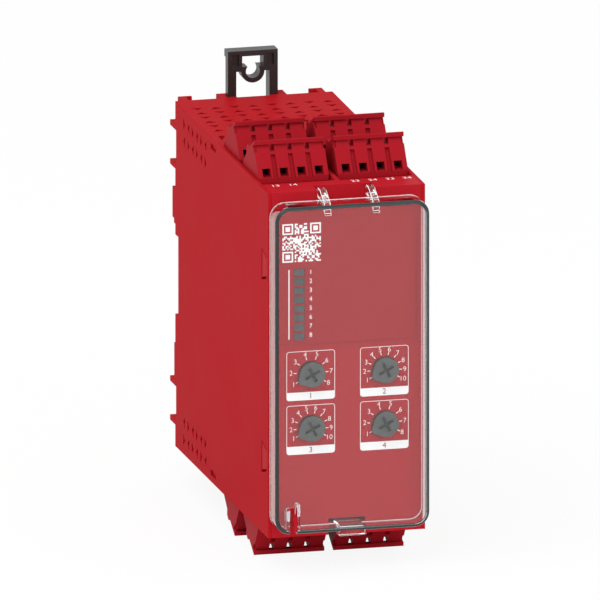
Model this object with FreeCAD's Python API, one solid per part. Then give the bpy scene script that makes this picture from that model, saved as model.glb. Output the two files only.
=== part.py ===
"""Safety relay module for a 35 mm mounting rail: a moulded housing, a front part with plug bays,
eight plug-in terminal blocks, four rotary selectors, a hinged clear cover and the boards inside.

Frame: millimetres, +Z up, -Y towards the reader of the front panel, +X to the reader's right.
The origin is where the rail's centre line meets the plane that the module's back rests on.
"""

import FreeCAD, Part
import math
import os

from FreeCAD import Vector

# ---------------------------------------------------------------- driving dimensions (mm)

# Poles and plugs, which set the width
pole_count = 4
pole_pitch = 5.0
plug_end = 0.05                # beyond the outer poles, at each end of a plug
plug_side_play = 0.15          # between a plug and the walls of its bay
partition = 2.3                # wall between the left and right bays
partition_rib = 1.3            # thinner rib that stands on it

# Housing
housing_height = 99.0
housing_depth = 106.7
side_wall = 0.95
end_wall = 1.6                 # top, bottom and back walls of the rear half
rear_rib = 2.6                 # wall of the front part behind the rear bays
fit_gap = 0.05                 # between moulded pieces that snap together
play = 0.15                    # between pieces that slide or lie loosely

# Mounting rail and what grips it
rail_width = 35.0
rail_thickness = 1.0
rail_below_middle = 2.2        # the rail's centre lies this far below mid-height
rail_relief_height = 22.8
rail_relief_rise = 2.1         # its middle lies this far above the frame's origin
rail_relief_depth = 3.4
claw_reach = 3.3               # how far the fixed claw stands behind the seat
claw_height = 8.8
claw_bite = 1.8                # how far its lip reaches over the rail's edge
foot_reach = 6.0
foot_thickness = 1.5
foot_width = 2.2
upper_feet = (6.7, 17.9)       # from the housing's top down to each foot's flat top
lower_feet = (7.6, 18.8)       # from its bottom up to each foot's flat top
foot_relief = 0.9              # the wall's back edge is set back by this between a pair of feet
rail_stop = 1.2                # it stands proud by this under the rail
rail_stop_play = 0.3
edge_tab_width = 3.8
edge_tab_inset = 1.9
edge_tab_reach = 4.8
edge_tab_thickness = 2.0
edge_tab_root = 2.0            # width of the arm that carries its bent end
edge_tab_end = 1.1             # thickness of that end

# Terminal plugs
plug_rise = 10.0               # lip above the housing's end face
plug_sink = 15.5               # body below the end face
first_ridge = 20.7             # from the front face back to the first row's lip
ridge_pitch = 22.1
plug_front = 5.5               # the plug's foot lies this far in front of its lip
plug_back = 12.3
plug_step = 0.8                # the sunk body is set back from the foot by this
slope_start = 0.4              # the sloped front starts this far above the end face
slope_back = 0.5               # and ends this far behind the lip's ridge
plug_valley = (5.3, 3.2)       # behind the lip's ridge and below it
plug_hump = (7.2, 2.8)
plug_shoulder = (8.7, 3.9, 5.7)
wire_hole_width = 2.3
wire_hole_height = 2.3
groove_width = 1.0
groove_flare = 0.4
groove_depth = 0.9
lip_thickness = 1.3
lip_overhang = 0.9
bridge_bar = 0.9
bridge_hole = 1.3              # width of the hole through the plug between bar and lip
bridge_drop = 2.3              # down the slope from the lip
chamber_width = 3.4
chamber_depth = 6.6
chamber_lead = 0.8             # its front lies this far in front of the lip
chamber_rise = 3.0             # its roof above the end face
clamp_height = 5.7
clamp_strip = 0.4
clamp_width = 2.6

# Bays and pin headers
land_depth = 10.2
ledge_drop = 1.4
bay_depth = 17.0
bay_floor = 1.5
partition_fin = 3.0
header_thickness = 1.3
pin_side = 1.0
pin_set_back = 3.0             # behind the plug's lip
pin_rise = 13.4                # above the header

# Front panel
panel_wall = 1.8
panel_step = 0.5               # the upper field stands proud by this
panel_step_bottom = 55.3       # above the housing's bottom
panel_step_margin = 1.6
panel_step_play = 0.6          # between its upper edge and the cover
panel_corner = 2.2
window_count = 8
window_pitch = 2.63
window_width = 3.1
window_height = 2.2
window_left = 7.25             # from the housing's left side
window_top_row = 76.0          # above the housing's bottom
guide_plate = 1.2              # thickness of the light guide's plate

# Selectors
selector_insets = (12.35, 11.55)  # each column's middle from its side of the housing
selector_rows = (46.6, 31.1)   # above the housing's bottom
knob_radius = 3.6
knob_proud = 1.6
knob_corner = 4.4
knob_cross = 4.6
knob_slot = 0.9
knob_slot_depth = 0.9
stem_radius = 1.5
stem_play = 0.05
switch_side = 10.0
switch_depth = 4.6
knob_rest_turn = 207.0         # degrees, from the right-hand side, anticlockwise from the front

# Clear cover
cover_depth = 7.2
cover_wall = 0.8
cover_side_margin = 0.4
cover_bottom_margin = 2.5
cover_top_margin = 2.7
cover_corner = 4.2
cover_edge = 0.9
cover_gap = 0.1                # between the cover's rim and the front face
arm_spread = 14.2
arm_width = 2.2
arm_drop = 4.4                 # rib inside the cover's front, below its top wall
arm_eye = 1.5
hinge_back = 1.2               # the hinge line lies behind the front face
hinge_drop = 1.05              # and below the land
hinge_pin_radius = 0.8
hinge_pin_length = 1.4
hinge_recess_depth = 5.4
hinge_recess_drop = 5.0
hinge_pocket_wall = 1.4
tab_width = 10.6
tab_reach = 1.3
latch_recess_depth = 3.0
latch_recess_height = 2.2      # above the cover's lower edge
tongue_reach = 2.2             # into the recess
seal_left = 5.0                # from the housing's left side to the seal eyelet
seal_thickness = 1.1
seal_height = 4.4
seal_hole = 0.8
seal_reach = 2.2               # in front of the cover
seal_slot_play = 0.5

# Upper screw lug and lower rail foot
lug_width = 14.3
lug_leg = 2.4
lug_thickness = 4.2
lug_rise = 12.9                # above the housing when pulled out
lug_engaged = 12.0             # below the housing's top when pulled out
lug_stand_off = 1.0
lug_head = 5.9
lug_base = 4.0
lug_rebate = 1.0
lug_rebate_depth = 1.3
lug_hole_radius = 2.0
lug_ring_radius = 3.325
lug_hole_drop = 5.9
lug_window = (6.1, 3.05)       # above the ring, and open to its hole
lug_window_drop = 1.55
lug_pocket = (2.0, 3.4)
lug_pocket_inset = 1.15
lug_pocket_drop = 1.0
lug_pocket_depth = 0.9
lug_shoulder = 2.1             # the rebates end this far below the top
guide_wall = 2.2
guide_lip = 1.2
catch_bite = 1.4
catch_nose = 4.0
catch_slot = (5.0, 2.0)
catch_travel = 4.0             # pulled down by this to let the rail go

# Latch windows
latch_window_length = 5.8
latch_window_height = 9.3
latch_window_set_back = 1.8
latch_window_inset = 17.2      # from the housing's end
edge_window_length = 6.1
edge_window_height = 1.7
edge_window_inset = 1.8
edge_window_back = 60.1
latch_slope = 1.6
latch_side_gap = 0.1           # between a latch nose and its window, front and back
latch_end_gap = 0.7            # and above and below
edge_nose_gap = 0.2
edge_nose_bite = 0.3           # how far the nose reaches into the wall
end_notch = (2.0, 4.6)         # three-cornered notch through the end wall
end_notch_inset = 2.1
end_notch_back = 61.3

# Vents
vent_length = 3.4
vent_wide = 2.0
vent_pitch = 4.9
vent_first = 72.0              # first row, behind the front face
end_vent_rows = 6
end_vent_columns = 8
end_vent_spacing = 5.35        # between columns
side_vent_rows = 2
side_vent_columns = 6
side_vent_inset = 4.2
side_vent_pitch = 4.95

# Inside
board_thickness = 1.6
board_gap = 0.4                # between a board and what it lies under
board_front = 13.0             # behind the front face
control_board_inset = 7.0      # from the left side
power_board_inset = 8.0        # from the right side
guide_rib = 1.2
guide_rib_height = 2.6
front_board_back = 8.5         # its front face, behind the front face of the housing
front_board_margin = 2.35      # from the front part's sides
post_side = 3.0
power_part_gap = 4.0           # from the housing's back wall to the parts on the power board
relay_size = (16.5, 28.0, 13.0)
relay_pitch = 14.5
relay_first = 76.0             # upper relay's middle, above the housing's bottom
core_gap = 2.0                 # below the lower relay
transformer_size = (14.0, 18.0, 16.0)
core_leg = 3.0
core_window = 3.0
capacitor_radius = 5.0
capacitor_length = 15.0
capacitor_gap = 2.0
capacitor_count = 2
fuse_size = (8.0, 8.4, 4.3)
chip_side = 12.0
chip_thickness = 1.4
chip_spacing = 26.0
link_length = 14.0
link_height = 6.0
link_rise = 14.0               # above mid-height

# ---------------------------------------------------------------- derived places

plug_width = pole_count * pole_pitch + 2 * plug_end
housing_width = 2 * (side_wall + plug_width + 2 * plug_side_play) + partition
front = -housing_depth
half_width = housing_width / 2
inner_half = half_width - side_wall
middle = rail_below_middle
top = middle + housing_height / 2
bottom = middle - housing_height / 2
cap_half = inner_half - fit_gap
rail_top = rail_width / 2
rail_bottom = -rail_width / 2
relief_top = rail_relief_rise + rail_relief_height / 2
relief_bottom = relief_top - rail_relief_height
plug_centre = partition / 2 + plug_side_play + plug_width / 2
plug_half = plug_width / 2
ridges = {"front": front + first_ridge, "rear": front + first_ridge + ridge_pitch}
joint_plane = ridges["rear"] + plug_back + 2 * play + rear_rib
slope_rise = plug_rise - lip_thickness
slope_run = plug_front + slope_back
slope_length = math.hypot(slope_run, slope_rise - slope_start)
bay_bottom = top - bay_depth
chamber_roof = top + chamber_rise
board_top = bay_bottom - bay_floor - board_gap
board_end = joint_plane - 1.0
hinge_y = front + hinge_back
hinge_z = top - hinge_drop
lug_top = top + lug_rise
lug_bottom = top - lug_engaged
lug_front = lug_stand_off
lug_back = lug_front + lug_thickness
claw_bottom = rail_top + play * 2
claw_top = claw_bottom + claw_height
window_bottom_row = window_top_row - (window_count - 1) * window_pitch
seal_x = seal_left - half_width
seal_tip = front - cover_gap - cover_depth - seal_reach
control_board_x = control_board_inset - half_width
power_board_x = half_width - power_board_inset
power_end = -end_wall - rail_relief_depth - power_part_gap
lower_shelf = bottom + relay_first - 2 * relay_pitch - core_gap
seal_z = bottom + cover_bottom_margin + cover_wall + seal_slot_play


# ---------------------------------------------------------------- small helpers

def box(x0, x1, y0, y1, z0, z1):
    """A block between two corners."""
    return Part.makeBox(x1 - x0, y1 - y0, z1 - z0, Vector(x0, y0, z0))


def prism(points, direction):
    """A closed outline of 3-D points, pushed along a direction."""
    wire = Part.makePolygon([Vector(*p) for p in points + points[:1]])
    return Part.Face(wire).extrude(Vector(*direction))


def side_prism(outline, x0, x1):
    """A (y, z) outline pushed across the width."""
    return prism([(x0, y, z) for y, z in outline], (x1 - x0, 0, 0))


def front_prism(outline, y0, y1):
    """An (x, z) outline pushed from front to back."""
    return prism([(x, y0, z) for x, z in outline], (0, y1 - y0, 0))


def rod_y(radius, x, z, y0, y1):
    """A round bar from front to back."""
    return Part.makeCylinder(radius, y1 - y0, Vector(x, y0, z), Vector(0, 1, 0))


def rod_x(radius, y, z, x0, x1):
    """A round bar across the width."""
    return Part.makeCylinder(radius, x1 - x0, Vector(x0, y, z), Vector(1, 0, 0))


def join(shapes):
    """One shape from several that touch or overlap."""
    return shapes[0].fuse(shapes[1:]).removeSplitter() if len(shapes) > 1 else shapes[0]


def flip(shape):
    """The same shape, mirrored from the top half of the module to the bottom half."""
    return shape.mirror(Vector(0, 0, middle), Vector(0, 0, 1))


def other_side(shape):
    """The same shape, mirrored from the right-hand side to the left-hand side."""
    return shape.mirror(Vector(0, 0, 0), Vector(1, 0, 0))


def four_ways(shape):
    """A shape in the upper right quarter, with its three mirror images."""
    pair = [shape, other_side(shape)]
    return pair + [flip(s) for s in pair]


def round_edges_along(shape, axis, radius):
    """Rounds the straight edges that run along one axis (0, 1 or 2)."""
    edges = []
    for edge in shape.Edges:
        if edge.Curve.TypeId != "Part::GeomLine":
            continue
        if abs(edge.tangentAt(edge.FirstParameter)[axis]) > 0.999:
            edges.append(edge)
    return shape.makeFillet(radius, edges)


# ---------------------------------------------------------------- housing

def vent_cutter(across, along, flipped):
    """One vent opening as a flat triangle, centred at (across, along); `flipped` turns its point round."""
    side = -1 if flipped else 1
    half = vent_length / 2
    base = across - side * vent_wide / 2
    return [(base, along - half), (base, along + half), (across + side * vent_wide / 2, along)]


def end_vents():
    """Openings through the top wall, in rows that alternate."""
    vents = []
    first_column = -(end_vent_columns - 1) * end_vent_spacing / 2
    for row in range(end_vent_rows):
        for column in range(end_vent_columns):
            y = front + vent_first + row * vent_pitch
            x = first_column + column * end_vent_spacing
            outline = [(a, b) for b, a in vent_cutter(y, x, (row + column) % 2)]
            vents.append(prism([(px, py, top - end_wall - 1) for px, py in outline], (0, 0, end_wall + 2)))
    return vents


def side_vents():
    """Openings through the right-hand wall near its upper end, in rows that alternate."""
    vents = []
    for row in range(side_vent_rows):
        for column in range(side_vent_columns):
            y = front + vent_first + column * vent_pitch
            z = top - side_vent_inset - row * side_vent_pitch
            outline = vent_cutter(y, z, (row + column) % 2)
            vents.append(side_prism(outline, inner_half - 1, half_width + 1))
    return vents


def side_wall_outline():
    """Outline of a side wall: straight at the front, with the claw's flange and the relief at the back."""
    return [(front, bottom), (0, bottom), (0, relief_bottom), (-rail_relief_depth, relief_bottom),
            (-rail_relief_depth, relief_top), (0, relief_top), (0, claw_bottom),
            (claw_reach, claw_bottom), (claw_reach, claw_top), (0, claw_top), (0, top), (front, top)]


def foot_tops():
    """Heights of the flat tops of the four feet, from the lowest."""
    return [bottom + rise for rise in lower_feet] + [top - drop for drop in reversed(upper_feet)]


def rear_feet():
    """Hooked feet on the back edge of the right-hand wall, and the stop under the rail."""
    feet = []
    for z in foot_tops():
        feet.append(box(half_width - foot_width, half_width, -1, foot_reach, z - foot_thickness, z))
    z0 = foot_tops()[1] - 0.5
    feet.append(box(inner_half, half_width, -0.5, rail_stop, z0, rail_bottom - rail_stop_play))
    return feet


def foot_reliefs():
    """Where the back edge of the right-hand wall is set back, between the feet of each pair."""
    heights = foot_tops()
    return [box(inner_half, half_width + 1, -foot_relief, foot_reach, low, high - foot_thickness)
            for low, high in (heights[:2], heights[2:])]


def end_notches():
    """A small three-cornered notch through the top wall, near the right-hand side."""
    x = half_width - end_notch_inset
    y = front + end_notch_back
    outline = [(x, y), (x, y + end_notch[1]), (x - end_notch[0], y + end_notch[1])]
    return [prism([(px, py, top - end_wall - 1) for px, py in outline], (0, 0, end_wall + 2))]


def slide_guides(z0, z1):
    """Two rails with lips on the back wall, which hold a sliding piece by its rebated edges."""
    inner = lug_width / 2 + play
    lip_front = lug_back - lug_rebate_depth + play
    lip_back = lip_front + guide_lip
    lip_edge = lug_width / 2 - lug_rebate + play
    wall = box(inner, inner + guide_wall, -end_wall, lip_back, z0, z1)
    lip = box(lip_edge, inner + guide_wall, lip_front, lip_back, z0, z1)
    runner = box(lug_width / 2 - lug_leg, lug_width / 2, -end_wall, lug_front - play, z0, z1)
    right = join([wall, lip, runner])
    return [right, other_side(right)]


def card_guides():
    """Pairs of ribs inside the top wall, which hold the upper edges of the two big boards."""
    ribs = []
    z1 = top - end_wall
    for x in (control_board_x, power_board_x):
        for x0 in (x - play - guide_rib, x + board_thickness + play):
            ribs.append(box(x0, x0 + guide_rib, joint_plane + 4, -end_wall, z1 - guide_rib_height, z1 + 0.5))
    return ribs


def latch_window(side_gap, end_gap):
    """The slanted window near the front edge of the right-hand wall, or the nose that stands in it."""
    y0 = front + latch_window_set_back + side_gap
    y1 = y0 + latch_window_length - 2 * side_gap
    z1 = top - latch_window_inset - end_gap
    z0 = z1 - latch_window_height + 2 * end_gap
    return [(y0, z0 + latch_slope), (y1, z0), (y1, z1), (y0, z1 - latch_slope)]


def edge_window(clear):
    """The long window under the top edge of the right-hand wall."""
    y0 = front + edge_window_back - clear
    y1 = y0 + edge_window_length + 2 * clear
    z1 = top - edge_window_inset + clear
    z0 = z1 - edge_window_height - 2 * clear
    return [(y0, z0), (y1, z0), (y1, z1), (y0, z1)]


def main_housing():
    """Side walls, rear end walls and back wall in one moulding, with the rail claw and guides."""
    walls = side_prism(side_wall_outline(), -half_width, half_width)
    open_front = box(-inner_half, inner_half, front - 1, joint_plane, bottom - 1, top + 1)
    hollow_y1 = -end_wall - rail_relief_depth
    hollow = box(-inner_half, inner_half, joint_plane - 1, hollow_y1, bottom + end_wall, top - end_wall)
    deep_hollow = box(-inner_half, inner_half, hollow_y1 - 1, -end_wall, relief_top + end_wall,
                      top - end_wall)
    low_hollow = box(-inner_half, inner_half, hollow_y1 - 1, -end_wall, bottom + end_wall,
                     relief_bottom - end_wall)
    claw_between = box(-inner_half, inner_half, 0.001, claw_reach + 1, claw_bottom - 1, claw_top + 1)
    body = walls.cut([open_front, hollow, deep_hollow, low_hollow, claw_between])
    claw_outline = [(-0.5, claw_bottom), (rail_thickness + play, claw_bottom),
                    (rail_thickness + play, claw_bottom - claw_bite), (claw_reach, claw_bottom - claw_bite),
                    (claw_reach, claw_top - 2), (claw_reach - 2, claw_top), (-0.5, claw_top)]
    claw = side_prism(claw_outline, -inner_half - 0.5, inner_half + 0.5)
    tab_x = half_width - edge_tab_inset
    tab = box(tab_x - edge_tab_width, tab_x, -0.5, edge_tab_reach, top - edge_tab_thickness, top)
    tab = tab.cut(box(tab_x - edge_tab_width - 1, tab_x - edge_tab_root, -1, edge_tab_reach - edge_tab_end,
                      top - edge_tab_thickness - 1, top + 1))
    extras = [claw]
    for shape in rear_feet():
        extras += [shape, other_side(shape)]
    extras += four_ways(tab)
    extras += slide_guides(claw_top + play, top)
    extras += slide_guides(bottom, rail_bottom - catch_nose - catch_travel - play)
    for rib in card_guides():
        extras += [rib, flip(rib)]
    body = body.fuse(extras)
    openings = []
    for vent in end_vents():
        openings += [vent, flip(vent)]
    for shape in side_vents() + end_notches() + [
            side_prism(latch_window(0, 0), inner_half - 1, half_width + 1),
            side_prism(edge_window(0), inner_half - 1, half_width + 1)]:
        openings += four_ways(shape)
    for shape in foot_reliefs():
        openings += [shape, other_side(shape)]
    return body.cut(openings).removeSplitter()


def bay_limits(row):
    """Front and back of the bay that a row of plugs stands in."""
    step_in = plug_front - plug_step
    return ridges[row] - step_in - 2 * play, ridges[row] + plug_back + 2 * play


def cap_end():
    """The upper end of the front part: the land, two plug bays with their partition, and the rear rib."""
    under = bay_bottom - bay_floor
    solid = box(-cap_half, cap_half, front, joint_plane - fit_gap, under, top)
    bay_front, bay_back = bay_limits("front")
    rear_front, rear_back = bay_limits("rear")
    cuts = []
    for y0, y1 in ((bay_front, bay_back), (rear_front, rear_back)):
        for side in (-1, 1):
            x0, x1 = sorted((side * partition / 2, side * (cap_half + 1)))
            cuts.append(box(x0, x1, y0, y1, bay_bottom, top + 1))
    ledge = top - ledge_drop
    cuts.append(side_prism([(front + land_depth, top + 1), (front + land_depth, top),
                            (front + land_depth + ledge_drop, ledge), (bay_front + 1, ledge),
                            (bay_front + 1, top + 1)], -cap_half - 1, cap_half + 1))
    cuts.append(box(-cap_half - 1, cap_half + 1, bay_front, rear_back, ledge, top + 1))
    hollows = [(front + panel_wall, bay_front - bay_floor), (bay_back + bay_floor, rear_front - bay_floor)]
    for y0, y1 in hollows:
        cuts.append(box(-cap_half - 1, cap_half + 1, y0, y1, under - 1, ledge - bay_floor))
    body = solid.cut(cuts)
    half = partition_rib / 2
    ribs = [box(-half, half, front + land_depth - 0.5, bay_back + 0.5, ledge - 1, top)]
    fin = [(rear_front - 0.5, ledge - 1), (rear_front - 0.5, ledge), (rear_front + 4, top + partition_fin),
           (rear_back - 5, top + partition_fin), (rear_back + 0.5, top), (rear_back + 0.5, ledge - 1)]
    ribs.append(side_prism(fin, -half, half))
    arm_top = top - edge_window_inset - edge_nose_gap
    arm = box(cap_half - 1.6, cap_half, joint_plane - 2, front + edge_window_back + edge_window_length,
              arm_top - edge_window_height + 2 * edge_nose_gap, arm_top)
    arm_nose = side_prism(edge_window(-edge_nose_gap), cap_half - 0.5, inner_half + edge_nose_bite)
    ribs += [arm, arm_nose, other_side(arm), other_side(arm_nose)]
    body = body.fuse(ribs)
    pin_slots = []
    reach = (pole_count - 1) / 2 * pole_pitch + pin_side / 2 + play
    for ridge in ridges.values():
        for x in (-plug_centre, plug_centre):
            y = ridge + pin_set_back
            side = pin_side / 2 + play
            pin_slots.append(box(x - reach, x + reach, y - side, y + side, under - 1, bay_bottom + 1))
    return body.cut(pin_slots)


def pole_places():
    """Middles of all poles across the width."""
    places = []
    for side in (-1, 1):
        for pole in range(pole_count):
            places.append(side * plug_centre + (pole - (pole_count - 1) / 2) * pole_pitch)
    return places


def selector_places():
    """Name, x and z of each selector."""
    places = []
    for level, height in zip(("upper", "lower"), selector_rows):
        for side, sign, inset in zip(("left", "right"), (-1, 1), selector_insets):
            places.append((level + "_" + side, sign * (half_width - inset), bottom + height))
    return places


def panel_windows(shrink, y0, y1):
    """The row of status windows, or what fills them."""
    x0 = window_left - half_width
    blocks = []
    for number in range(window_count):
        z = bottom + window_top_row - number * window_pitch
        blocks.append(box(x0 + shrink, x0 + window_width - shrink, y0, y1,
                          z - window_height / 2 + shrink, z + window_height / 2 - shrink))
    return blocks


def board_posts():
    """Places of the four posts that carry the front board."""
    x = cap_half - front_board_margin - post_side / 2 - play
    z1 = bottom + window_top_row
    z0 = bottom + selector_rows[-1] - switch_side / 2 - post_side / 2 - play
    return [(-x, z0), (x, z0), (x, z1), (-x, z1)]


def front_cap():
    """Front part: panel, both ends with plug bays, latch noses, seal eyelet and board posts."""
    panel = box(-cap_half, cap_half, front, front + panel_wall, bottom, top)
    step_x = cap_half - panel_step_margin
    step_top = top - cover_top_margin - cover_wall - panel_step_play
    step = box(-step_x, step_x, front - panel_step, front + 0.5, bottom + panel_step_bottom, step_top)
    step = round_edges_along(step, 1, panel_corner)
    upper = cap_end()
    nose = side_prism(latch_window(latch_side_gap, latch_end_gap), cap_half - 0.5, half_width - play)
    noses = four_ways(nose)
    ears = four_ways(box(cap_half - 1.6, cap_half, front + 0.5, front + latch_window_set_back
                         + latch_window_length, top - latch_window_inset - latch_window_height,
                         top - latch_window_inset))
    seal = box(seal_x, seal_x + seal_thickness, seal_tip, front + 0.5, seal_z, seal_z + seal_height)
    r = post_side / 2
    posts = [box(x - r, x + r, front + 0.5, front + front_board_back, z - r, z + r) for x, z in board_posts()]
    recess_x = arm_spread / 2 + arm_width / 2 + play
    pocket_x = recess_x + hinge_pocket_wall
    pocket = box(-pocket_x, pocket_x, front + 0.5, front + hinge_recess_depth + hinge_pocket_wall,
                 top - hinge_recess_drop - hinge_pocket_wall, top - ledge_drop)
    body = panel.fuse([step, upper, flip(upper), seal, pocket] + noses + ears + posts)
    cuts = [box(-recess_x, recess_x, front - 1, front + hinge_recess_depth, top - hinge_recess_drop, top + 1),
            rod_x(hinge_pin_radius + stem_play, hinge_y, hinge_z, -recess_x - hinge_pin_length - play,
                  recess_x + hinge_pin_length + play),
            box(-tab_width / 2, tab_width / 2, front - 1, front + latch_recess_depth, bottom - 1,
                bottom + cover_bottom_margin + latch_recess_height),
            rod_x(seal_hole, seal_tip + seal_reach / 2, seal_z + seal_height / 2, seal_x - 1,
                  seal_x + seal_thickness + 1)]
    cuts += [rod_y(knob_radius + 2 * stem_play, x, z, front - 1, front + panel_wall + 1)
             for _, x, z in selector_places()]
    cuts += panel_windows(0, front - 1, front + panel_wall + 1)
    return body.cut(cuts).removeSplitter()


# ---------------------------------------------------------------- terminal plugs

def plug_outline(ridge):
    """Side view of a plug: lip, sloped front, foot, sunk body and stepped back."""
    def at(y, rise):
        return (ridge + y, top + rise)
    foot_step = plug_front - plug_step
    lip_front = slope_back - lip_overhang
    return [at(-plug_front, -ledge_drop + play), at(-plug_front, slope_start), at(slope_back, slope_rise),
            at(lip_front, slope_rise), at(lip_front, plug_rise - 0.2), at(0, plug_rise),
            at(plug_valley[0], plug_rise - plug_valley[1]), at(plug_hump[0], plug_rise - plug_hump[1]),
            at(plug_shoulder[0], plug_rise - plug_shoulder[1]),
            at(plug_shoulder[0], plug_rise - plug_shoulder[2]), at(plug_back, 1.2), at(plug_back, -plug_sink),
            at(-foot_step, -plug_sink), at(-foot_step, -ledge_drop + play)]


def slope_cut(x, ridge, start, end, depth):
    """A trough along a plug's sloped front, between two distances up the slope from its foot."""
    along = (slope_run / slope_length, (slope_rise - slope_start) / slope_length)
    out = (-along[1], along[0])
    foot = (ridge - plug_front + along[0] * start, top + slope_start + along[1] * start)
    wide = (groove_width + groove_flare) / 2
    corners = [(-wide, play), (wide, play), (groove_width / 2, -depth), (-groove_width / 2, -depth)]
    points = [(x + px, foot[0] + off * out[0], foot[1] + off * out[1]) for px, off in corners]
    reach = end - start
    return prism(points, (0, along[0] * reach, along[1] * reach))


def plug_body(side, ridge):
    """One plug: stepped body, grooves between the poles, wire holes, and chambers open to the pins below."""
    middle_x = side * plug_centre
    body = side_prism(plug_outline(ridge), middle_x - plug_half, middle_x + plug_half)
    cuts = []
    bar_top = slope_length - bridge_drop
    bar_bottom = bar_top - bridge_bar
    hole_bottom = top + slope_start + (slope_rise - slope_start) * bar_top / slope_length
    for edge in range(pole_count + 1):
        x = middle_x + (edge - pole_count / 2) * pole_pitch
        if 0 < edge < pole_count:
            cuts.append(slope_cut(x, ridge, -groove_flare, bar_bottom, groove_depth))
            half = bridge_hole / 2
            cuts.append(box(x - half, x + half, ridge - plug_front, ridge + plug_valley[0], hole_bottom,
                            top + slope_rise))
        else:
            cuts.append(slope_cut(x, ridge, bar_top, slope_length, groove_depth))
    for pole in range(pole_count):
        x = middle_x + (pole - (pole_count - 1) / 2) * pole_pitch
        half = wire_hole_width / 2
        cuts.append(box(x - half, x + half, ridge - plug_front - 1, ridge, top + slope_start,
                        top + slope_start + wire_hole_height))
        half = chamber_width / 2
        cuts.append(box(x - half, x + half, ridge - chamber_lead, ridge - chamber_lead + chamber_depth,
                        top - plug_sink - 1, chamber_roof))
    return body.cut(cuts).removeSplitter()


def plug_clamps(side, ridge):
    """Four bent spring strips, one in each chamber of a plug."""
    rear = ridge - chamber_lead + chamber_depth - play
    roof = chamber_roof - play
    floor = chamber_roof - clamp_height
    pin_front = ridge + pin_set_back - pin_side / 2
    t = clamp_strip
    tip = (pin_front - play, top - 1.0)
    outline = [(rear, floor), (rear, roof), (ridge, roof), tip, (tip[0] + t / 2, tip[1] + t),
               (ridge + t, roof - t), (rear - t, roof - t), (rear - t, floor)]
    strips = []
    for pole in range(pole_count):
        x = side * plug_centre + (pole - (pole_count - 1) / 2) * pole_pitch
        strips.append(side_prism(outline, x - clamp_width / 2, x + clamp_width / 2))
    return Part.makeCompound(strips)


def header(side, ridge):
    """The pin header's base on the bay's floor, with holes for its pins."""
    x = side * plug_centre
    base = box(x - plug_half + 0.6, x + plug_half - 0.6, ridge - plug_front + 1.6, ridge + plug_back - 1.0,
               bay_bottom, bay_bottom + header_thickness)
    holes = []
    for pole in range(pole_count):
        px = x + (pole - (pole_count - 1) / 2) * pole_pitch
        half = pin_side / 2
        y = ridge + pin_set_back
        holes.append(box(px - half, px + half, y - half, y + half, bay_bottom - 1, bay_bottom + 5))
    return base.cut(holes)


def header_pins(side):
    """The square contact pins of one side's two upper headers, through the floor and down to the board."""
    pins = []
    half = pin_side / 2
    z1 = bay_bottom + header_thickness + pin_rise
    for ridge in ridges.values():
        y = ridge + pin_set_back
        for x in pole_places():
            if x * side > 0:
                pins.append(box(x - half, x + half, y - half, y + half, board_top, z1))
    return Part.makeCompound(pins)


# ---------------------------------------------------------------- selectors and status lights

def selector_knob(x, z):
    """A slotted knob with a pointer corner, and the stem that turns the switch."""
    y0 = front - knob_proud
    head = rod_y(knob_radius, x, z, y0, front + panel_wall + 0.6)
    turn = math.radians(knob_rest_turn)
    points = []
    for offset, reach in ((-55, knob_radius), (0, knob_corner * 1.12), (55, knob_radius)):
        angle = turn + math.radians(offset)
        points.append((x + reach * math.cos(angle), z + reach * math.sin(angle)))
    points.append((x, z))
    pointer = front_prism(points, y0, front - 2 * stem_play)
    pointer = pointer.common(rod_y(knob_corner, x, z, y0, front))
    stem = rod_y(stem_radius, x, z, front, front + front_board_back - 2.5)
    body = head.fuse([pointer, stem])
    half = knob_slot / 2
    reach = knob_cross / 2
    arms = []
    for quarter in (0, 90):
        arm = box(-reach, reach, y0 - 1, y0 + knob_slot_depth, -half, half)
        arm.rotate(Vector(0, 0, 0), Vector(0, 1, 0), quarter - knob_rest_turn)
        arm.translate(Vector(x, 0, z))
        arms.append(arm)
    return body.cut(arms).removeSplitter()


def selector_switch(x, z):
    """The square rotary switch behind a knob, on the front board."""
    half = switch_side / 2
    y1 = front + front_board_back
    body = box(x - half, x + half, y1 - switch_depth, y1, z - half, z + half)
    return body.cut(rod_y(stem_radius + stem_play, x, z, y1 - switch_depth - 1, y1 - 1.5))


def light_guide():
    """One dark clear moulding with a pipe behind each status window."""
    pipes = panel_windows(play / 2, front - panel_step + 0.1, front + front_board_back - 1.1)
    x0 = window_left - half_width
    back = front + panel_wall + play
    plate = box(x0 - 0.4, x0 + window_width + guide_plate, back, back + guide_plate,
                bottom + window_bottom_row - window_height, bottom + window_top_row + window_height)
    return plate.fuse(pipes).removeSplitter()


def status_lights():
    """Eight small lamps on the front board, one behind each pipe."""
    y1 = front + front_board_back
    return Part.makeCompound(panel_windows(0.5, y1 - 0.8, y1))


def front_board():
    """The board behind the panel, which carries the selectors and lamps."""
    y0 = front + front_board_back
    z0 = board_posts()[0][1] - post_side
    z1 = bottom + window_top_row + window_height
    half = cap_half - front_board_margin
    return box(-half, half, y0, y0 + board_thickness, z0, z1)


# ---------------------------------------------------------------- boards and what they carry

def terminal_board():
    """The board under the upper plug bays."""
    half = cap_half - play
    y0 = front + front_board_back + board_thickness + 2.0
    return box(-half, half, y0, board_end, board_top - board_thickness, board_top)


def side_board(x):
    """A big upright board: low between the plug bays, full height behind them."""
    low_top = board_top - board_thickness - board_gap
    low_bottom = 2 * middle - low_top
    tall_top = top - end_wall - play
    tall_bottom = 2 * middle - tall_top
    y0 = front + board_front
    y1 = joint_plane + 2.0
    y2 = -end_wall - rail_relief_depth - 1.0
    outline = [(y0, low_bottom), (y1, low_bottom), (y1, tall_bottom), (y2, tall_bottom), (y2, tall_top),
               (y1, tall_top), (y1, low_top), (y0, low_top)]
    return side_prism(outline, x, x + board_thickness)


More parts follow.
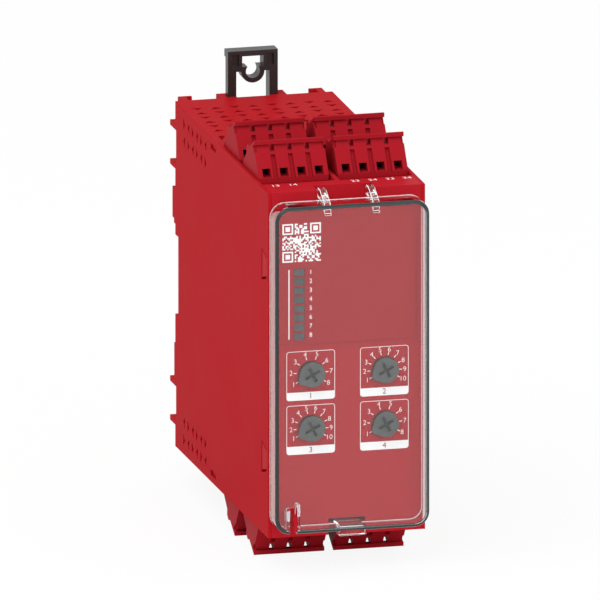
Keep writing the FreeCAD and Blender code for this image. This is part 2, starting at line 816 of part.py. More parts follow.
def safety_relay_unit(number):
    """A sealed relay on the power board."""
    sx, sy, sz = relay_size
    z = bottom + relay_first - number * relay_pitch
    return box(power_board_x - sx, power_board_x, power_end - sy, power_end, z - sz / 2, z + sz / 2)


def core_windows(clear, overhang):
    """The two openings in the transformer's core, or the winding that fills them."""
    sx, sy, sz = transformer_size
    x0 = power_board_x - sx - overhang
    x1 = power_board_x + overhang
    z0 = lower_shelf - sz + core_leg + clear
    z1 = lower_shelf - core_leg - clear
    y0 = power_end - sy + core_leg
    y1 = power_end - core_leg - core_window
    return [box(x0, x1, y + clear, y + core_window - clear, z0, z1) for y in (y0, y1)]


def transformer():
    """Ferrite core of the power supply's transformer."""
    sx, sy, sz = transformer_size
    core = box(power_board_x - sx, power_board_x, power_end - sy, power_end, lower_shelf - sz, lower_shelf)
    return core.cut(core_windows(0, 1))


def transformer_winding():
    """The winding in both windows of the core."""
    return Part.makeCompound(core_windows(play, -play))


def capacitor_place():
    """Depth and height of the rear can's middle."""
    y = power_end - transformer_size[1] - capacitor_gap - capacitor_radius
    return y, lower_shelf - capacitor_radius


def capacitors():
    """Round cans in a row, which stand out from the power board."""
    y, z = capacitor_place()
    pitch = 2 * capacitor_radius + capacitor_gap
    cans = [rod_x(capacitor_radius, y - number * pitch, z, power_board_x - capacitor_length, power_board_x)
            for number in range(capacitor_count)]
    return Part.makeCompound(cans)


def fuse_holder():
    """A small block fuse on the power board, below the cans."""
    sx, sy, sz = fuse_size
    y, z = capacitor_place()
    z1 = z - capacitor_radius - capacitor_gap
    return box(power_board_x - sx, power_board_x, y - sy / 2, y + sy / 2, z1 - sz, z1)


def logic_chips():
    """Two flat square processors on the control board's inner face."""
    x0 = control_board_x + board_thickness
    y = joint_plane + chip_side
    chips = []
    for sign in (-1, 1):
        z = middle + sign * chip_spacing / 2
        chips.append(box(x0, x0 + chip_thickness, y, y + chip_side, z - chip_side / 2, z + chip_side / 2))
    return Part.makeCompound(chips)


def board_link():
    """The plug connection between the two big boards."""
    x0 = control_board_x + board_thickness
    z = middle + link_rise
    return box(x0, power_board_x, joint_plane - link_length, joint_plane, z - link_height / 2,
               z + link_height / 2)


# ---------------------------------------------------------------- cover and sliding pieces

def clear_cover():
    """Shallow clear dish with two hinge arms, a finger tab, a latch tongue and a slot for the seal eyelet."""
    x = half_width - cover_side_margin
    z0 = bottom + cover_bottom_margin
    z1 = top - cover_top_margin
    y1 = front - cover_gap
    y0 = y1 - cover_depth
    outer = round_edges_along(box(-x, x, y0, y1, z0, z1), 1, cover_corner)
    rim = [e for e in outer.Edges if e.BoundBox.YMax < y0 + 0.001]
    outer = outer.makeFillet(cover_edge, rim)
    w = cover_wall
    inner = round_edges_along(box(-x + w, x - w, y0 + w, y1 + 1, z0 + w, z1 - w), 1, cover_corner - w)
    shell = outer.cut(inner)
    arm_outline = [(hinge_y, hinge_z + arm_eye), (y1 - 1.4, hinge_z + arm_eye), (y0 + w, z1 + w),
                   (y0, z1 - w), (y0, z1 - w - arm_drop), (y0 + 2 * w, z1 - w - arm_drop),
                   (y0 + 2 * w, z1 - w), (y1, z1 - w), (hinge_y, hinge_z - arm_eye)]
    arms = []
    inner_x = arm_spread / 2 - arm_width / 2
    outer_x = inner_x + arm_width
    pin = rod_x(hinge_pin_radius, hinge_y, hinge_z, outer_x - 0.5, outer_x + hinge_pin_length)
    eye = rod_x(arm_eye, hinge_y, hinge_z, inner_x, outer_x)
    for shape in (side_prism(arm_outline, inner_x, outer_x), eye, pin):
        arms += [shape, other_side(shape)]
    half = tab_width / 2
    tab = box(-half, half, y0, y0 + 3.2, z0 - tab_reach, z0 + w)
    tab = round_edges_along(tab, 1, 0.6)
    tip = y1 + tongue_reach
    tongue = side_prism([(y0 + 2, z0 + w / 2), (tip, z0 + w / 2), (tip, z0 + 1.5 * w), (y1 + 1, z0 + 2 * w),
                         (y0 + 2, z0 + 2 * w)], -half + 1.4, half - 1.4)
    body = shell.fuse(arms + [tab, tongue])
    g = seal_slot_play
    slot_x = (seal_x - g, seal_x + seal_thickness + g)
    slot = box(*slot_x, y0 - 1, y0 + w + 1, z0 - 1, seal_z + seal_height + 2 * g)
    gap = box(*slot_x, y0 - 1, y1 + 1, z0 - 1, seal_z)
    return body.cut([slot, gap]).removeSplitter()


def upper_lug():
    """Fork-shaped slide with a sprung open ring for a fixing screw."""
    half = lug_width / 2
    ring_z = lug_top - lug_hole_drop
    legs = [box(half - lug_leg, half, lug_front, lug_back, lug_bottom, lug_top)]
    legs.append(other_side(legs[0]))
    head = box(-half, half, lug_front, lug_back, lug_top - lug_head, lug_top)
    base = box(-half, half, lug_front, lug_back, lug_bottom, lug_bottom + lug_base)
    ring = rod_y(lug_ring_radius, 0, ring_z, lug_front, lug_back)
    body = join(legs + [head, base, ring])
    w, h = lug_window
    window_top = lug_top - lug_window_drop
    window = box(-w / 2, w / 2, lug_front - 1, lug_back + 1, window_top - h, window_top)
    hole = rod_y(lug_hole_radius, 0, ring_z, lug_front - 1, lug_back + 1)
    cuts = [window, hole]
    pw, ph = lug_pocket
    pocket_x = half - lug_pocket_inset
    pocket_z = lug_top - lug_pocket_drop
    pocket = box(pocket_x - pw, pocket_x, lug_front - 1, lug_front + lug_pocket_depth, pocket_z - ph,
                 pocket_z)
    rebate = box(half - lug_rebate, half + 1, lug_back - lug_rebate_depth, lug_back + 1, lug_bottom - 1,
                 lug_top - lug_shoulder)
    for shape in (pocket, rebate):
        cuts += [shape, other_side(shape)]
    return body.cut(cuts).removeSplitter()


def rail_foot():
    """The sprung slide that grips the rail's lower edge."""
    half = lug_width / 2
    nose_top = rail_bottom + catch_bite
    y0 = lug_front
    y1 = lug_back
    lip = rail_thickness + play
    z0 = bottom + 1.0
    plate = box(-half, half, y0, y1, z0, rail_bottom - catch_nose + 1)
    nose = side_prism([(y0, rail_bottom - catch_nose), (y0, rail_bottom - play), (lip, rail_bottom - play),
                       (lip, nose_top), (lip + 0.8, nose_top), (y1, rail_bottom - 1.5),
                       (y1, rail_bottom - catch_nose)], -half, half)
    body = plate.fuse(nose)
    w, h = catch_slot
    cuts = [box(-w / 2, w / 2, y0 - 1, y1 + 1, z0 + 1.6, z0 + 1.6 + h),
            box(-half + lug_leg, half - lug_leg, y0 - 1, y1 - 1.4, z0 + 6, rail_bottom - catch_nose - 3)]
    rebate = box(half - lug_rebate, half + 1, y1 - lug_rebate_depth, y1 + 1, z0 - 1, rail_bottom - catch_nose)
    cuts += [rebate, other_side(rebate)]
    return body.cut(cuts).removeSplitter()


# ---------------------------------------------------------------- all nodes

def all_nodes():
    """Every node by name."""
    nodes = {"main_housing": main_housing(), "front_cap": front_cap(), "clear_cover": clear_cover(),
             "upper_mounting_lug": upper_lug(), "rail_foot": rail_foot(), "light_guide": light_guide(),
             "status_lights": status_lights(), "front_board": front_board()}
    for place, x, z in selector_places():
        nodes["selector_knob_" + place] = selector_knob(x, z)
        nodes["selector_switch_" + place] = selector_switch(x, z)
    for row, ridge in ridges.items():
        for side, sign in (("left", -1), ("right", 1)):
            where = row + "_" + side
            upper = {"terminal_plug_top_" + where: plug_body(sign, ridge),
                     "plug_clamps_top_" + where: plug_clamps(sign, ridge),
                     "pin_header_top_" + where: header(sign, ridge)}
            for name, shape in upper.items():
                nodes[name] = shape
                nodes[name.replace("_top_", "_bottom_")] = flip(shape)
    for side, sign in (("left", -1), ("right", 1)):
        nodes["header_pins_top_" + side] = header_pins(sign)
        nodes["header_pins_bottom_" + side] = flip(header_pins(sign))
    nodes["terminal_board_top"] = terminal_board()
    nodes["terminal_board_bottom"] = flip(terminal_board())
    nodes["control_board"] = side_board(control_board_x)
    nodes["power_board"] = side_board(power_board_x)
    nodes["relay_upper"] = safety_relay_unit(0)
    nodes["relay_lower"] = safety_relay_unit(1)
    nodes["transformer_core"] = transformer()
    nodes["transformer_winding"] = transformer_winding()
    nodes["capacitors"] = capacitors()
    nodes["fuse"] = fuse_holder()
    nodes["logic_chips"] = logic_chips()
    nodes["board_link"] = board_link()
    return nodes


def main():
    """Writes one file per node."""
    os.makedirs("parts", exist_ok=True)
    for name, shape in all_nodes().items():
        if not shape.isValid() or not shape.Solids:
            raise ValueError(name + " is not a sound solid")
        shape.exportStep("parts/" + name + ".step")


main()
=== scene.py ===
import math

import bmesh
import bpy
from mathutils import Matrix, Vector


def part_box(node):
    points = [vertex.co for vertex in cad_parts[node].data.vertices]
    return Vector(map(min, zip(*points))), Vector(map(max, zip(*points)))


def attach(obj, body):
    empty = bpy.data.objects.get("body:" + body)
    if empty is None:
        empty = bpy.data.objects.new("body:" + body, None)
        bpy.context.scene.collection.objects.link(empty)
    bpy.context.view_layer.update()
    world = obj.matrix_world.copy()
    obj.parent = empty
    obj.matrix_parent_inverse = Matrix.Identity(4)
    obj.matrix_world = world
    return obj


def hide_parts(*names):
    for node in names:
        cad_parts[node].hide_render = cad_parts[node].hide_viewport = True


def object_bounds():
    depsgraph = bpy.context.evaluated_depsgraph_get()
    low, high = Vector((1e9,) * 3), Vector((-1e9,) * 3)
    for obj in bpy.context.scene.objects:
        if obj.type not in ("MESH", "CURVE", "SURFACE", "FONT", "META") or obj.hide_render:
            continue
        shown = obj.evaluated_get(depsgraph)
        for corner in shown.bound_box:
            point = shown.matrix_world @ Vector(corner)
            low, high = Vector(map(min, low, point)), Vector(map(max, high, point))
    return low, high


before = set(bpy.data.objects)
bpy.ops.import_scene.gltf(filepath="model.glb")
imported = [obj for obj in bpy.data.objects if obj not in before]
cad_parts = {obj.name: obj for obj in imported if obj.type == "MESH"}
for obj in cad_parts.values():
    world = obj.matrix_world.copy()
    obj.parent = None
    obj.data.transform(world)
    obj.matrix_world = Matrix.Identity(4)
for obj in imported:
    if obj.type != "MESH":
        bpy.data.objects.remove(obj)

bl_info = {
    "name": "Safety Relay Module",
    "version": (1, 0, 0),
    "blender": (4, 5, 0),
    "location": "3D View > Sidebar > Relay",
    "description": "Finishes, printed marks and stage for a rail-mounted safety relay",
    "category": "Object",
}

CAD_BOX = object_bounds()
MM = 0.001
GUIDE_SINK = 0.1 * MM     # the light guide lies this far behind the raised panel's face
PANEL_STEP = 0.5 * MM     # the raised panel stands this far in front of the front's own face
PANEL_EDGE = 0.3 * MM     # faces up to this far behind the raised face still belong to the panel


# -------- sizes and colours to change

def length(name, description, default):
    """A size in metres, given here in millimetres."""
    return bpy.props.FloatProperty(
        name=name, description=description, default=default * MM, unit="LENGTH", precision=5
    )


def colour(name, description, code):
    """A colour, given here as written on screen."""
    return bpy.props.FloatVectorProperty(
        name=name, description=description, default=linear(code), size=3, subtype="COLOR",
        min=0.0, max=1.0,
    )


def strength(name, description, default):
    """The strength of a light."""
    return bpy.props.FloatProperty(name=name, description=description, default=default, min=0.0)


def bearing(name, description, degrees):
    """An angle, given here in degrees."""
    return bpy.props.FloatProperty(
        name=name, description=description, default=math.radians(degrees), subtype="ANGLE"
    )


def linear(code):
    """Linear red, green and blue from a six-figure colour code."""
    parts = [int(code[i:i + 2], 16) / 255 for i in (0, 2, 4)]
    return tuple(p / 12.92 if p <= 0.04045 else ((p + 0.055) / 1.055) ** 2.4 for p in parts)


class RelayFinishes(bpy.types.PropertyGroup):
    """Colours of the mouldings, the print and the clear cover."""

    housing: colour("Housing", "Matt red of the rear housing", "AB171F")
    front: colour("Front", "Red of the front part", "AE1C26")
    panel: colour("Panel", "Deeper red of the raised panel", "A51A24")
    plug: colour("Plugs", "Red of the terminal plugs", "9C1A24")
    printed: colour("Print", "White of the printed marks", "FFFFFF")
    strip_number: colour("Strip numbers", "Dark red of the numbers on the strips", "8C1018")
    grip: colour("Rail grips", "Black of the screw lug and rail foot", "1C1819")
    knob: colour("Knobs", "Grey of the selector knobs", "4E5150")
    window: colour("Windows", "Smoked status windows", "4C4C4D")
    cover_clear: colour("Cover", "What the clear cover lets through", "F8F9F9")
    # Painted shade: this dark tint on the cover's rounded front edge stands in for how clear
    # plastic darkens there
    cover_edge: colour("Cover edge", "Grey green of the cover's rounded front edge", "2C3636")
    # Painted highlight: this white on the cover's rim, collar and arm bevels stands in for light
    # caught by clear plastic
    cover_rim: colour("Cover rim", "White of the cover's rear rim", "FAFAFA")


class RelayCover(bpy.types.PropertyGroup):
    """Sizes of the clear cover."""

    depth: length("Depth", "From the cover's front face to its rim", 7.2)
    wall: length("Wall", "Thickness of the cover's walls", 0.8)
    corner: length("Corner", "Rounding of the four corners", 4.2)
    edge: length("Edge", "Rounding round the front face", 0.9)
    # Widths of the two rim bands that carry the painted highlight
    bright_rim: length("Bright rim", "Width of the bright line along the rear rim", 0.28)
    inner_rim: length("Inner rim", "Width of the bright line along the rim's inner side", 0.18)
    arm_width: length("Arm width", "Width of a hinge arm", 1.9)
    arm_place: length("Arm place", "From the middle to an arm's inner side", 6.0)
    arm_drop: length("Arm drop", "How far an arm's rib runs down inside the front", 2.2)
    eye: length("Eye", "Radius of the eye at an arm's rear end", 1.5)
    pin: length("Pin", "Radius of the hinge pins", 0.8)
    pin_reach: length("Pin reach", "How far a pin stands out of its arm", 1.4)
    tab_width: length("Tab width", "Width of the finger tab", 7.8)
    tab_reach: length("Tab reach", "How far the finger tab hangs below the cover", 1.3)
    slot_left: length("Slot left", "Left side of the slot for the seal eyelet", -18.0)
    slot_right: length("Slot right", "Right side of that slot", -15.9)
    slot_top: length("Slot top", "Upper end of that slot", -37.2)
    gap_top: length("Gap top", "Upper end of the gap through the lower wall", -43.5)
    collar: length("Collar", "Wall of the collar round the slot", 0.9)


class RelayPrint(bpy.types.PropertyGroup):
    """Sizes of the printed marks."""

    ink: length("Ink", "Height of the print above the panel", 0.02)
    line: length("Line", "Width of the frame lines", 0.15)
    caption: length("Captions", "Height of the window numbers", 1.3)
    caption_left: length("Captions left", "Left end of the window numbers", -10.9)
    caption_top: length("Captions top", "Height of the first window number", 28.65)
    caption_pitch: length("Captions pitch", "Step from one window number to the next", 2.58)
    rule: length("Rule", "Place of the upright rule beside the windows", -16.7)
    rule_width: length("Rule width", "Width of that rule", 0.3)
    rule_low: length("Rule low", "Height of that rule's lower end", 9.6)
    rule_high: length("Rule high", "Height of that rule's upper end", 29.6)
    frame_width: length("Frame width", "Width of a selector's printed frame", 13.9)
    frame_height: length("Frame height", "Height of a selector's printed frame", 14.1)
    frame_top: length("Frame top", "From a selector's middle up to its frame's upper edge", 6.6)
    frame_corner: length("Frame corner", "Rounding of a frame's corners", 0.8)
    strip_height: length("Strip height", "White strip along the foot of each frame", 2.35)
    strip_figure: length("Strip numbers", "Height of the numbers on the strips", 1.6)
    tick_radius: length("Tick radius", "Inner end of the dial ticks", 4.2)
    tick_length: length("Tick length", "Length of a dial tick", 0.85)
    tick_width: length("Tick width", "Width of a dial tick at its inner end", 0.26)
    figure_radius: length("Figure radius", "Middle of the dial figures", 5.75)
    figure: length("Figures", "Height of the dial figures", 1.45)
    figure_weight: length("Figure weight", "Added to the figures' strokes, or taken off", -0.02)
    code_left: length("Code left", "Left side of the square block pattern", -18.6)
    code_low: length("Code low", "Lower side of that pattern", 31.75)
    code_side: length("Code side", "Side of that pattern", 11.05)
    terminal: length("Terminal numbers", "Height of the terminal numbers", 1.9)
    terminal_back: length("Terminal numbers back", "From the front face back to their middle", 8.0)


class RelayStage(bpy.types.PropertyGroup):
    """Light and camera."""

    azimuth: bearing("Azimuth", "Camera angle round the module", -14.0)
    elevation: bearing("Elevation", "Camera angle above the horizon", 14.4)
    view_width: length("View width", "Width that the camera sees", 166.87)
    world_light: strength("Surround light", "Strength of the white surround", 0.76)
    key_light: strength("Key light", "Power of the large lamp above", 13.0)
    fill_light: strength("Fill light", "Power of the lamp in front", 7.5)


# -------- node helpers

def link(tree, start, end):
    """Joins two sockets."""
    tree.links.new(start, end)


def new_group(name, inputs, outputs):
    """A shader group with named sockets, and its input and output nodes."""
    tree = bpy.data.node_groups.new(name, "ShaderNodeTree")
    for title, kind, value in inputs:
        socket = tree.interface.new_socket(title, in_out="INPUT", socket_type="NodeSocket" + kind)
        socket.default_value = value
    for title, kind in outputs:
        tree.interface.new_socket(title, in_out="OUTPUT", socket_type="NodeSocket" + kind)
    return tree, tree.nodes.new("NodeGroupInput"), tree.nodes.new("NodeGroupOutput")


def feed(tree, socket, value):
    """Sets a socket to a number or a colour, or joins another socket to it."""
    if isinstance(value, (int, float)):
        socket.default_value = value
    elif isinstance(value, tuple):
        socket.default_value = (*value, 1.0)
    else:
        link(tree, value, socket)


def math_node(tree, operation, first, second):
    """A maths node; each operand is a number or a socket."""
    node = tree.nodes.new("ShaderNodeMath")
    node.operation = operation
    for socket, value in zip(node.inputs, (first, second)):
        feed(tree, socket, value)
    return node.outputs[0]


def noise(tree, scale, detail, rough):
    """A noise texture in the module's own coordinates."""
    where = tree.nodes.new("ShaderNodeTexCoord").outputs["Object"]
    node = tree.nodes.new("ShaderNodeTexNoise")
    feed(tree, node.inputs["Scale"], scale)
    node.inputs["Detail"].default_value = detail
    node.inputs["Roughness"].default_value = rough
    link(tree, where, node.inputs["Vector"])
    return node.outputs["Fac"]


def spread(tree, value, low, high, to_low, to_high):
    """Maps a value from one span to another."""
    node = tree.nodes.new("ShaderNodeMapRange")
    for socket, number in zip(node.inputs[1:5], (low, high, to_low, to_high)):
        feed(tree, socket, number)
    link(tree, value, node.inputs[0])
    return node.outputs[0]


def blend_colour(tree, amount, first, second):
    """A mix of two colours; each is a colour tuple or a socket."""
    node = tree.nodes.new("ShaderNodeMix")
    node.data_type = "RGBA"
    sockets = [s for s in node.inputs if s.type == "RGBA"]
    for socket, value in zip(sockets, (first, second)):
        feed(tree, socket, value)
    feed(tree, node.inputs["Factor"], amount)
    return [s for s in node.outputs if s.type == "RGBA"][0]


def scale_colour(tree, colour_socket, factor):
    """A colour made lighter or darker by a factor socket."""
    node = tree.nodes.new("ShaderNodeVectorMath")
    node.operation = "SCALE"
    link(tree, colour_socket, node.inputs[0])
    link(tree, factor, node.inputs["Scale"])
    return node.outputs[0]


def seen_rays(tree):
    """One for what is seen, straight, mirrored or through the cover, and nought for light."""
    path = tree.nodes.new("ShaderNodeLightPath")
    bent = math_node(tree, "MAXIMUM", path.outputs["Is Glossy Ray"],
                     path.outputs["Is Transmission Ray"])
    return math_node(tree, "MAXIMUM", path.outputs["Is Camera Ray"], bent)


def blend_shaders(tree, amount, first, second):
    """Sends a mix of two shaders to the material's output."""
    mix = tree.nodes.new("ShaderNodeMixShader")
    for socket, value in zip(mix.inputs, (amount, first, second)):
        link(tree, value, socket)
    link(tree, mix.outputs[0], tree.nodes["Material Output"].inputs["Surface"])


# -------- shared effects

def build_moulded_grain():
    """Fine spark-eroded grain of a plastic moulding, with a slow change of tone."""
    tree, given, out = new_group(
        "moulded_grain",
        [
            ("Color", "Color", (0.5, 0.5, 0.5, 1.0)),
            ("Grain Scale", "Float", 3200.0),
            ("Tone Change", "Float", 0.05),
            ("Roughness", "Float", 0.4),
            ("Roughness Change", "Float", 0.08),
        ],
        [("Color", "Color"), ("Roughness", "Float"), ("Height", "Float")],
    )
    grain = noise(tree, given.outputs["Grain Scale"], 3.0, 0.6)
    slow = noise(tree, 55.0, 2.0, 0.5)
    flow = math_node(tree, "SUBTRACT", slow, 0.5)
    tone = math_node(tree, "MULTIPLY", flow, given.outputs["Tone Change"])
    speck = math_node(tree, "SUBTRACT", grain, 0.5)
    fine = math_node(tree, "MULTIPLY", speck, given.outputs["Tone Change"])
    factor = math_node(tree, "ADD", math_node(tree, "ADD", tone, fine), 1.0)
    link(tree, scale_colour(tree, given.outputs["Color"], factor), out.inputs["Color"])
    change = math_node(tree, "MULTIPLY", flow, given.outputs["Roughness Change"])
    link(tree, math_node(tree, "ADD", given.outputs["Roughness"], change), out.inputs["Roughness"])
    link(tree, grain, out.inputs["Height"])


def build_eased_edge():
    """Small rounding on sharp edges, and a mask where the surface turns."""
    tree, given, out = new_group(
        "eased_edge",
        [("Radius", "Float", 0.00015)],
        [("Normal", "Vector"), ("Edge", "Float")],
    )
    bevel = tree.nodes.new("ShaderNodeBevel")
    bevel.samples = 4
    link(tree, given.outputs["Radius"], bevel.inputs["Radius"])
    geometry = tree.nodes.new("ShaderNodeNewGeometry")
    turn = tree.nodes.new("ShaderNodeVectorMath")
    turn.operation = "DOT_PRODUCT"
    link(tree, bevel.outputs["Normal"], turn.inputs[0])
    link(tree, geometry.outputs["True Normal"], turn.inputs[1])
    link(tree, bevel.outputs["Normal"], out.inputs["Normal"])
    link(tree, spread(tree, turn.outputs["Value"], 0.995, 0.8, 0.0, 1.0), out.inputs["Edge"])


def build_recess_shade():
    """A mask that grows with depth behind a front plane across Y, for painted shade in recesses."""
    tree, given, out = new_group(
        "recess_shade",
        [("Front", "Float", 0.0), ("Back", "Float", 0.001)],
        [("Depth", "Float")],
    )
    parts = tree.nodes.new("ShaderNodeSeparateXYZ")
    link(tree, tree.nodes.new("ShaderNodeNewGeometry").outputs["Position"], parts.inputs[0])
    front, back = given.outputs["Front"], given.outputs["Back"]
    link(tree, spread(tree, parts.outputs["Y"], front, back, 0.0, 1.0), out.inputs["Depth"])


def place_group(tree, name, **values):
    """A shared effect placed in a material, with its own values."""
    node = tree.nodes.new("ShaderNodeGroup")
    node.node_tree = bpy.data.node_groups[name]
    for title, value in values.items():
        node.inputs[title.replace("_", " ")].default_value = value
    return node


# -------- materials

def new_material(name):
    """A material, with its tree and its Principled shader."""
    mat = bpy.data.materials.new(name)
    mat.use_nodes = True
    tree = mat.node_tree
    return mat, tree, tree.nodes["Principled BSDF"]


def coat(tree, shader, surface, base):
    """Gives a shader its colour, and its roughness from the grain."""
    link(tree, base, shader.inputs["Base Color"])
    link(tree, surface.outputs["Roughness"], shader.inputs["Roughness"])


def moulded(name, tint, rough=0.42, gloss=0.3, grain=3200.0, depth=0.004, tone=0.06, edge=0.10,
            radius=0.16, recess=None):
    """Moulded plastic with fine grain and edges that are eased and a little lighter.

    Depth and radius are in millimetres. A recess is the two places between which painted shade
    darkens it.
    """
    mat, tree, shader = new_material(name)
    surface = place_group(
        tree, "moulded_grain", Color=(*tint, 1.0), Grain_Scale=grain, Tone_Change=tone,
        Roughness=rough, Roughness_Change=0.1,
    )
    eased = place_group(tree, "eased_edge", Radius=radius * MM)
    lighter = tuple(min(1.0, c * 1.25 + 0.02) for c in tint)
    amount = math_node(tree, "MULTIPLY", eased.outputs["Edge"], edge)
    base = blend_colour(tree, amount, surface.outputs["Color"], lighter)
    # Painted shade: the colour darkens with depth in a recess
    if recess:
        front, back = recess
        shade = place_group(tree, "recess_shade", Front=front, Back=back)
        darker = tuple(c * 0.3 for c in tint)
        base = blend_colour(tree, shade.outputs["Depth"], base, darker)
    coat(tree, shader, surface, base)
    bump = raise_height(tree, shader, surface.outputs["Height"], 0.35, depth)
    link(tree, eased.outputs["Normal"], bump.inputs["Normal"])
    shader.inputs["Specular IOR Level"].default_value = gloss
    return mat


def raise_height(tree, shader, height, strength, depth):
    """A bump from a height to the shader's normal; the depth is in millimetres."""
    bump = tree.nodes.new("ShaderNodeBump")
    bump.inputs["Strength"].default_value = strength
    bump.inputs["Distance"].default_value = depth * MM
    link(tree, height, bump.inputs["Height"])
    link(tree, bump.outputs["Normal"], shader.inputs["Normal"])
    return bump


def metal(name, tint, rough):
    """Plated or drawn metal with a fine mottle."""
    mat, tree, shader = new_material(name)
    surface = place_group(
        tree, "moulded_grain", Color=(*tint, 1.0), Grain_Scale=900.0, Tone_Change=0.25,
        Roughness=rough, Roughness_Change=0.2,
    )
    coat(tree, shader, surface, surface.outputs["Color"])
    shader.inputs["Metallic"].default_value = 1.0
    return mat


def circuit_board():
    """Green lacquered board with lighter tracks that stand out under the lacquer."""
    mat, tree, shader = new_material("board_lacquer")
    where = tree.nodes.new("ShaderNodeTexCoord").outputs["Object"]
    maze = tree.nodes.new("ShaderNodeTexVoronoi")
    maze.distance = "MANHATTAN"
    maze.feature = "DISTANCE_TO_EDGE"
    maze.inputs["Scale"].default_value = 420.0
    link(tree, where, maze.inputs["Vector"])
    track = spread(tree, maze.outputs["Distance"], 0.06, 0.09, 1.0, 0.0)
    base = blend_colour(tree, track, linear("0E4A2C"), linear("1F6B3F"))
    surface = place_group(
        tree, "moulded_grain", Grain_Scale=2500.0, Tone_Change=0.12, Roughness=0.3,
        Roughness_Change=0.1,
    )
    link(tree, base, surface.inputs["Color"])
    coat(tree, shader, surface, surface.outputs["Color"])
    raise_height(tree, shader, track, 0.5, 0.03)
    return mat


def clear_plastic(name, rough, tint, clarity=1.0, gloss=0.5, bend=1.49):
    """Clear moulded plastic that lets lamp light through."""
    mat, tree, shader = new_material(name)
    haze = spread(tree, noise(tree, 900.0, 2.0, 0.5), 0.3, 0.7, rough * 0.6, rough * 1.4)
    link(tree, haze, shader.inputs["Roughness"])
    shader.inputs["Base Color"].default_value = (*tint, 1.0)
    shader.inputs["Transmission Weight"].default_value = clarity
    shader.inputs["IOR"].default_value = bend
    shader.inputs["Specular IOR Level"].default_value = gloss
    path = tree.nodes.new("ShaderNodeLightPath")
    open_way = tree.nodes.new("ShaderNodeBsdfTransparent")
    open_way.inputs["Color"].default_value = (*tint, 1.0)
    blend_shaders(tree, path.outputs["Is Shadow Ray"], shader.outputs[0], open_way.outputs[0])
    return mat


# -------- mesh and place helpers

def add_object(name, data):
    """An object in the scene, at the module's origin."""
    thing = bpy.data.objects.new(name, data)
    bpy.context.scene.collection.objects.link(thing)
    return thing


def take_mesh(name, shape):
    """A mesh from a bmesh, which is freed."""
    mesh = bpy.data.meshes.new(name)
    shape.to_mesh(mesh)
    shape.free()
    return mesh


def print_piece(name, shape, ink, tint):
    """A piece of print from a bmesh, in a flat ink, that rides on the housing."""
    mesh = take_mesh(name, shape)
    mesh.materials.append(moulded(ink, tint, rough=0.5, tone=0.05, edge=0.0, radius=0.02))
    piece = add_object(name, mesh)
    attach(piece, "housing")


def raised_face():
    """Where the face of the raised panel lies along Y."""
    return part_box("light_guide")[0].y - GUIDE_SINK


def front_face():
    """Where the front's own face lies along Y."""
    return raised_face() + PANEL_STEP


def rounded_outline(half_x, low_z, high_z, corner, steps=8):
    """Points (x, z) round a rectangle with rounded corners, anticlockwise from the front."""
    right, left = half_x - corner, corner - half_x
    upper, lower = high_z - corner, low_z + corner
    points = []
    for cx, cz, start in ((right, upper, 0), (left, upper, 90), (left, lower, 180),
                          (right, lower, 270)):
        for i in range(steps + 1):
            angle = math.radians(start + 90 * i / steps)
            points.append((cx + corner * math.cos(angle), cz + corner * math.sin(angle)))
    return points


def bridge(shape, near, far):
    """A band of faces between two closed loops of equal length."""
    count = len(near)
    for i in range(count):
        j = (i + 1) % count
        shape.faces.new((near[i], near[j], far[j], far[i]))


def loft(shape, rings):
    """Closed solid through rings of equal length, each a list of points, with flat ends."""
    loops = [[shape.verts.new(point) for point in ring] for ring in rings]
    for near, far in zip(loops, loops[1:]):
        bridge(shape, near, far)
    shape.faces.new(loops[0][::-1])
    shape.faces.new(loops[-1])


def sharpen(shape, degrees):
    """Smooth faces, with edges kept sharp where the surface turns by more than an angle.

    Where a large flat face meets another face, any turn at all is sharp.
    """
    limit = math.radians(degrees)
    for face in shape.faces:
        face.smooth = True
    for edge in shape.edges:
        turn = edge.calc_face_angle(0.0) if len(edge.link_faces) == 2 else math.pi
        large = any(len(face.verts) > 8 for face in edge.link_faces)
        edge.smooth = turn < limit and not (large and turn > 0.001)


def to_piece(name, shape):
    """A mesh object from a bmesh whose faces all look outward."""
    bmesh.ops.recalc_face_normals(shape, faces=shape.faces)
    return add_object(name, take_mesh(name, shape))


def side_solid(name, outline, x0, x1, ease=0.0, parts=2):
    """A solid with a (y, z) outline between two x, with its edges eased."""
    shape = bmesh.new()
    loft(shape, [[(x, y, z) for y, z in outline] for x in (x0, x1)])
    if ease:
        bmesh.ops.bevel(shape, geom=shape.edges[:], offset=ease, segments=parts, affect="EDGES",
                        profile=0.5)
    return to_piece(name, shape)


def block(name, x0, x1, y0, y1, z0, z1, ease=0.0):
    """A box with eased edges."""
    return side_solid(name, [(y0, z0), (y1, z0), (y1, z1), (y0, z1)], x0, x1, ease)


def combine(piece, tool, operation):
    """Adds a tool solid to a piece or takes it away, and deletes the tool."""
    change = piece.modifiers.new("change", "BOOLEAN")
    change.operation = operation
    change.object = tool
    change.solver = "EXACT"
    change.use_self = True
    bpy.context.view_layer.update()
    graph = bpy.context.evaluated_depsgraph_get()
    result = bpy.data.meshes.new_from_object(piece.evaluated_get(graph))
    piece.modifiers.clear()
    old, piece.data = piece.data, result
    bpy.data.meshes.remove(old)
    bpy.data.objects.remove(tool)


def add_outline(shape, corners, face_y, thick):
    """A thin prism with an (x, z) outline, standing in front of a face that looks towards -Y."""
    front = [shape.verts.new((x, face_y - thick, z)) for x, z in corners]
    back = [shape.verts.new((x, face_y, z)) for x, z in corners]
    shape.faces.new(front)
    shape.faces.new(back[::-1])
    bridge(shape, back, front)


def add_plate(shape, x0, x1, z0, z1, face_y, thick):
    """A thin flat block on such a face."""
    add_outline(shape, [(x0, z0), (x1, z0), (x1, z1), (x0, z1)], face_y, thick)


def add_ring(shape, outer, inner, face_y, thick):
    """A thin closed line between two (x, z) outlines on such a face."""
    front_y = face_y - thick
    section = ((outer, face_y), (outer, front_y), (inner, front_y), (inner, face_y))
    loops = [[shape.verts.new((x, y, z)) for x, z in outline] for outline, y in section]
    for near, far in zip(loops, loops[1:] + loops[:1]):
        bridge(shape, near, far)


